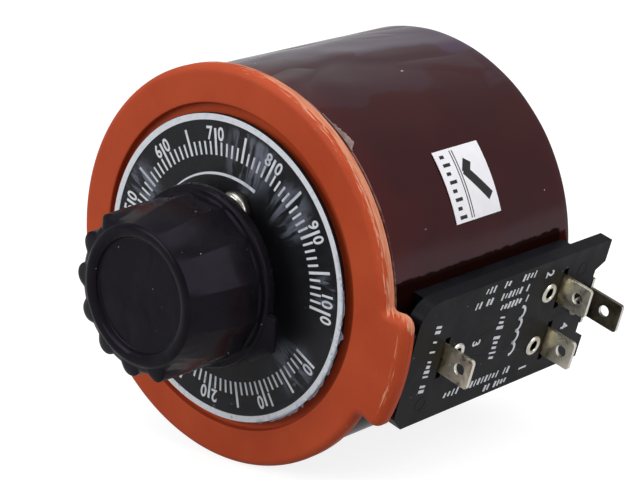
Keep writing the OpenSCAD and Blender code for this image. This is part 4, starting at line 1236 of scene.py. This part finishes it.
def floor():
    """A pale floor just below the ring."""
    low = -RING_R - FLOOR_GAP
    square = [Vector((x * FLOOR_HALF, y * FLOOR_HALF, low)) * MM for x, y in SQUARE]
    mesh = bpy.data.meshes.new("floor")
    mesh.from_pydata(square, [], [(0, 1, 2, 3)])
    made = add_object("floor", mesh)
    pale = Finish("pale_floor", color=(0.3, 0.3, 0.3, 1), rough=0.9, specular=0.0, glow=WHITE)
    glow = pale.times(pale.ray_share(FLOOR_MIRRORED), FLOOR_GLOW)
    mesh.materials.append(pale.set(glow_strength=glow))


def studio():
    surroundings()
    floor()
    lamp("top", (0.1, -0.1, 1.1), (0, 0.03, 0), (1.0, 1.0), 6)
    lamp("front", (-0.4, -1.1, 0.6), (0, 0.0, 0), (0.8, 0.8), 8.5)
    lamp("right", (0.9, 0.2, 0.5), (0, 0.03, 0), (0.7, 0.9), 5)


def build():
    camera()
    studio()
    ink = white_print()
    front_moulding(orange_moulding())
    dial(black_dial(), ink)
    film_sheet(clear_film())
    knob(black_knob())
    wrap_film(maroon_film())
    paper_label(white_paper(), black_ink())
    torn_flap(torn_film())
    winding_turns(copper_turns())
    plastic = black_board()
    board_prints(ink, plastic)
    nickel = metal("nickel", rgb(206, 203, 192), rgb(236, 234, 226), (0.24, 0.38))
    tinned = tinned_blade("tinned", rgb(228, 221, 200), rgb(248, 243, 226), rgb(232, 212, 156))
    # A darker copy of the tinned finish: painted shade on the blade at the board's end
    shaded = tinned_blade("shaded", rgb(108, 103, 92), rgb(128, 122, 109), rgb(118, 108, 84))
    steel = metal("steel", rgb(150, 150, 150), rgb(198, 198, 200), (0.22, 0.36), turned=True)
    brass = metal("brass", rgb(168, 128, 64), rgb(212, 174, 100), (0.22, 0.36), turned=True)
    bronze = metal("bronze", rgb(158, 116, 66), rgb(200, 156, 100), (0.24, 0.38))
    aluminium = metal("aluminium", rgb(168, 170, 174), rgb(208, 210, 214), (0.28, 0.44), 4.0)
    lead = metal("lead_wire", rgb(150, 78, 42), rgb(190, 110, 66), (0.28, 0.4))
    eyelets(nickel)
    bright = metal("screw_nickel", rgb(150, 147, 138), rgb(196, 193, 184), (0.14, 0.26))
    dial_screws(bright)
    clamp_screws(bright)
    strip = metal("core_strip", rgb(60, 61, 66), rgb(92, 94, 100), (0.4, 0.6), turned=True)
    fibre = pressed_board("fibre", rgb(92, 52, 24), rgb(122, 74, 38))
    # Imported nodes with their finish, and the width of their rounded edges
    for nodes, material, width in (
            ("terminal_board", plastic, 0.35),
            ("terminal_1 terminal_2 terminal_3", tinned, 0.18),
            ("terminal_4", shaded, 0.18),
            ("core_seat bore_liner clamp_plate", fibre, 0.2),
            ("core_case_front core_case_rear", ivory_case(), 0.3),
            ("core", strip, 0.2),
            ("screw_inserts front_bush rear_bush collector knob_insert arm_hub brush_holder", brass, 0.12),
            ("shaft retaining_clip stop_pin knob_grub_screw hub_grub_screw", steel, 0.12),
            ("brush_spring collector_finger", bronze, 0.06),
            ("brush_arm", aluminium, 0.25),
            ("arm_rivets", nickel, 0.12),
            ("carbon_brush", pressed_carbon(), 0.15),
            ("tap_leads", lead, 0.0)):
        for node in nodes.split():
            dress(node, material, width)


bpy.context.scene.view_settings.view_transform = "Standard"
build()
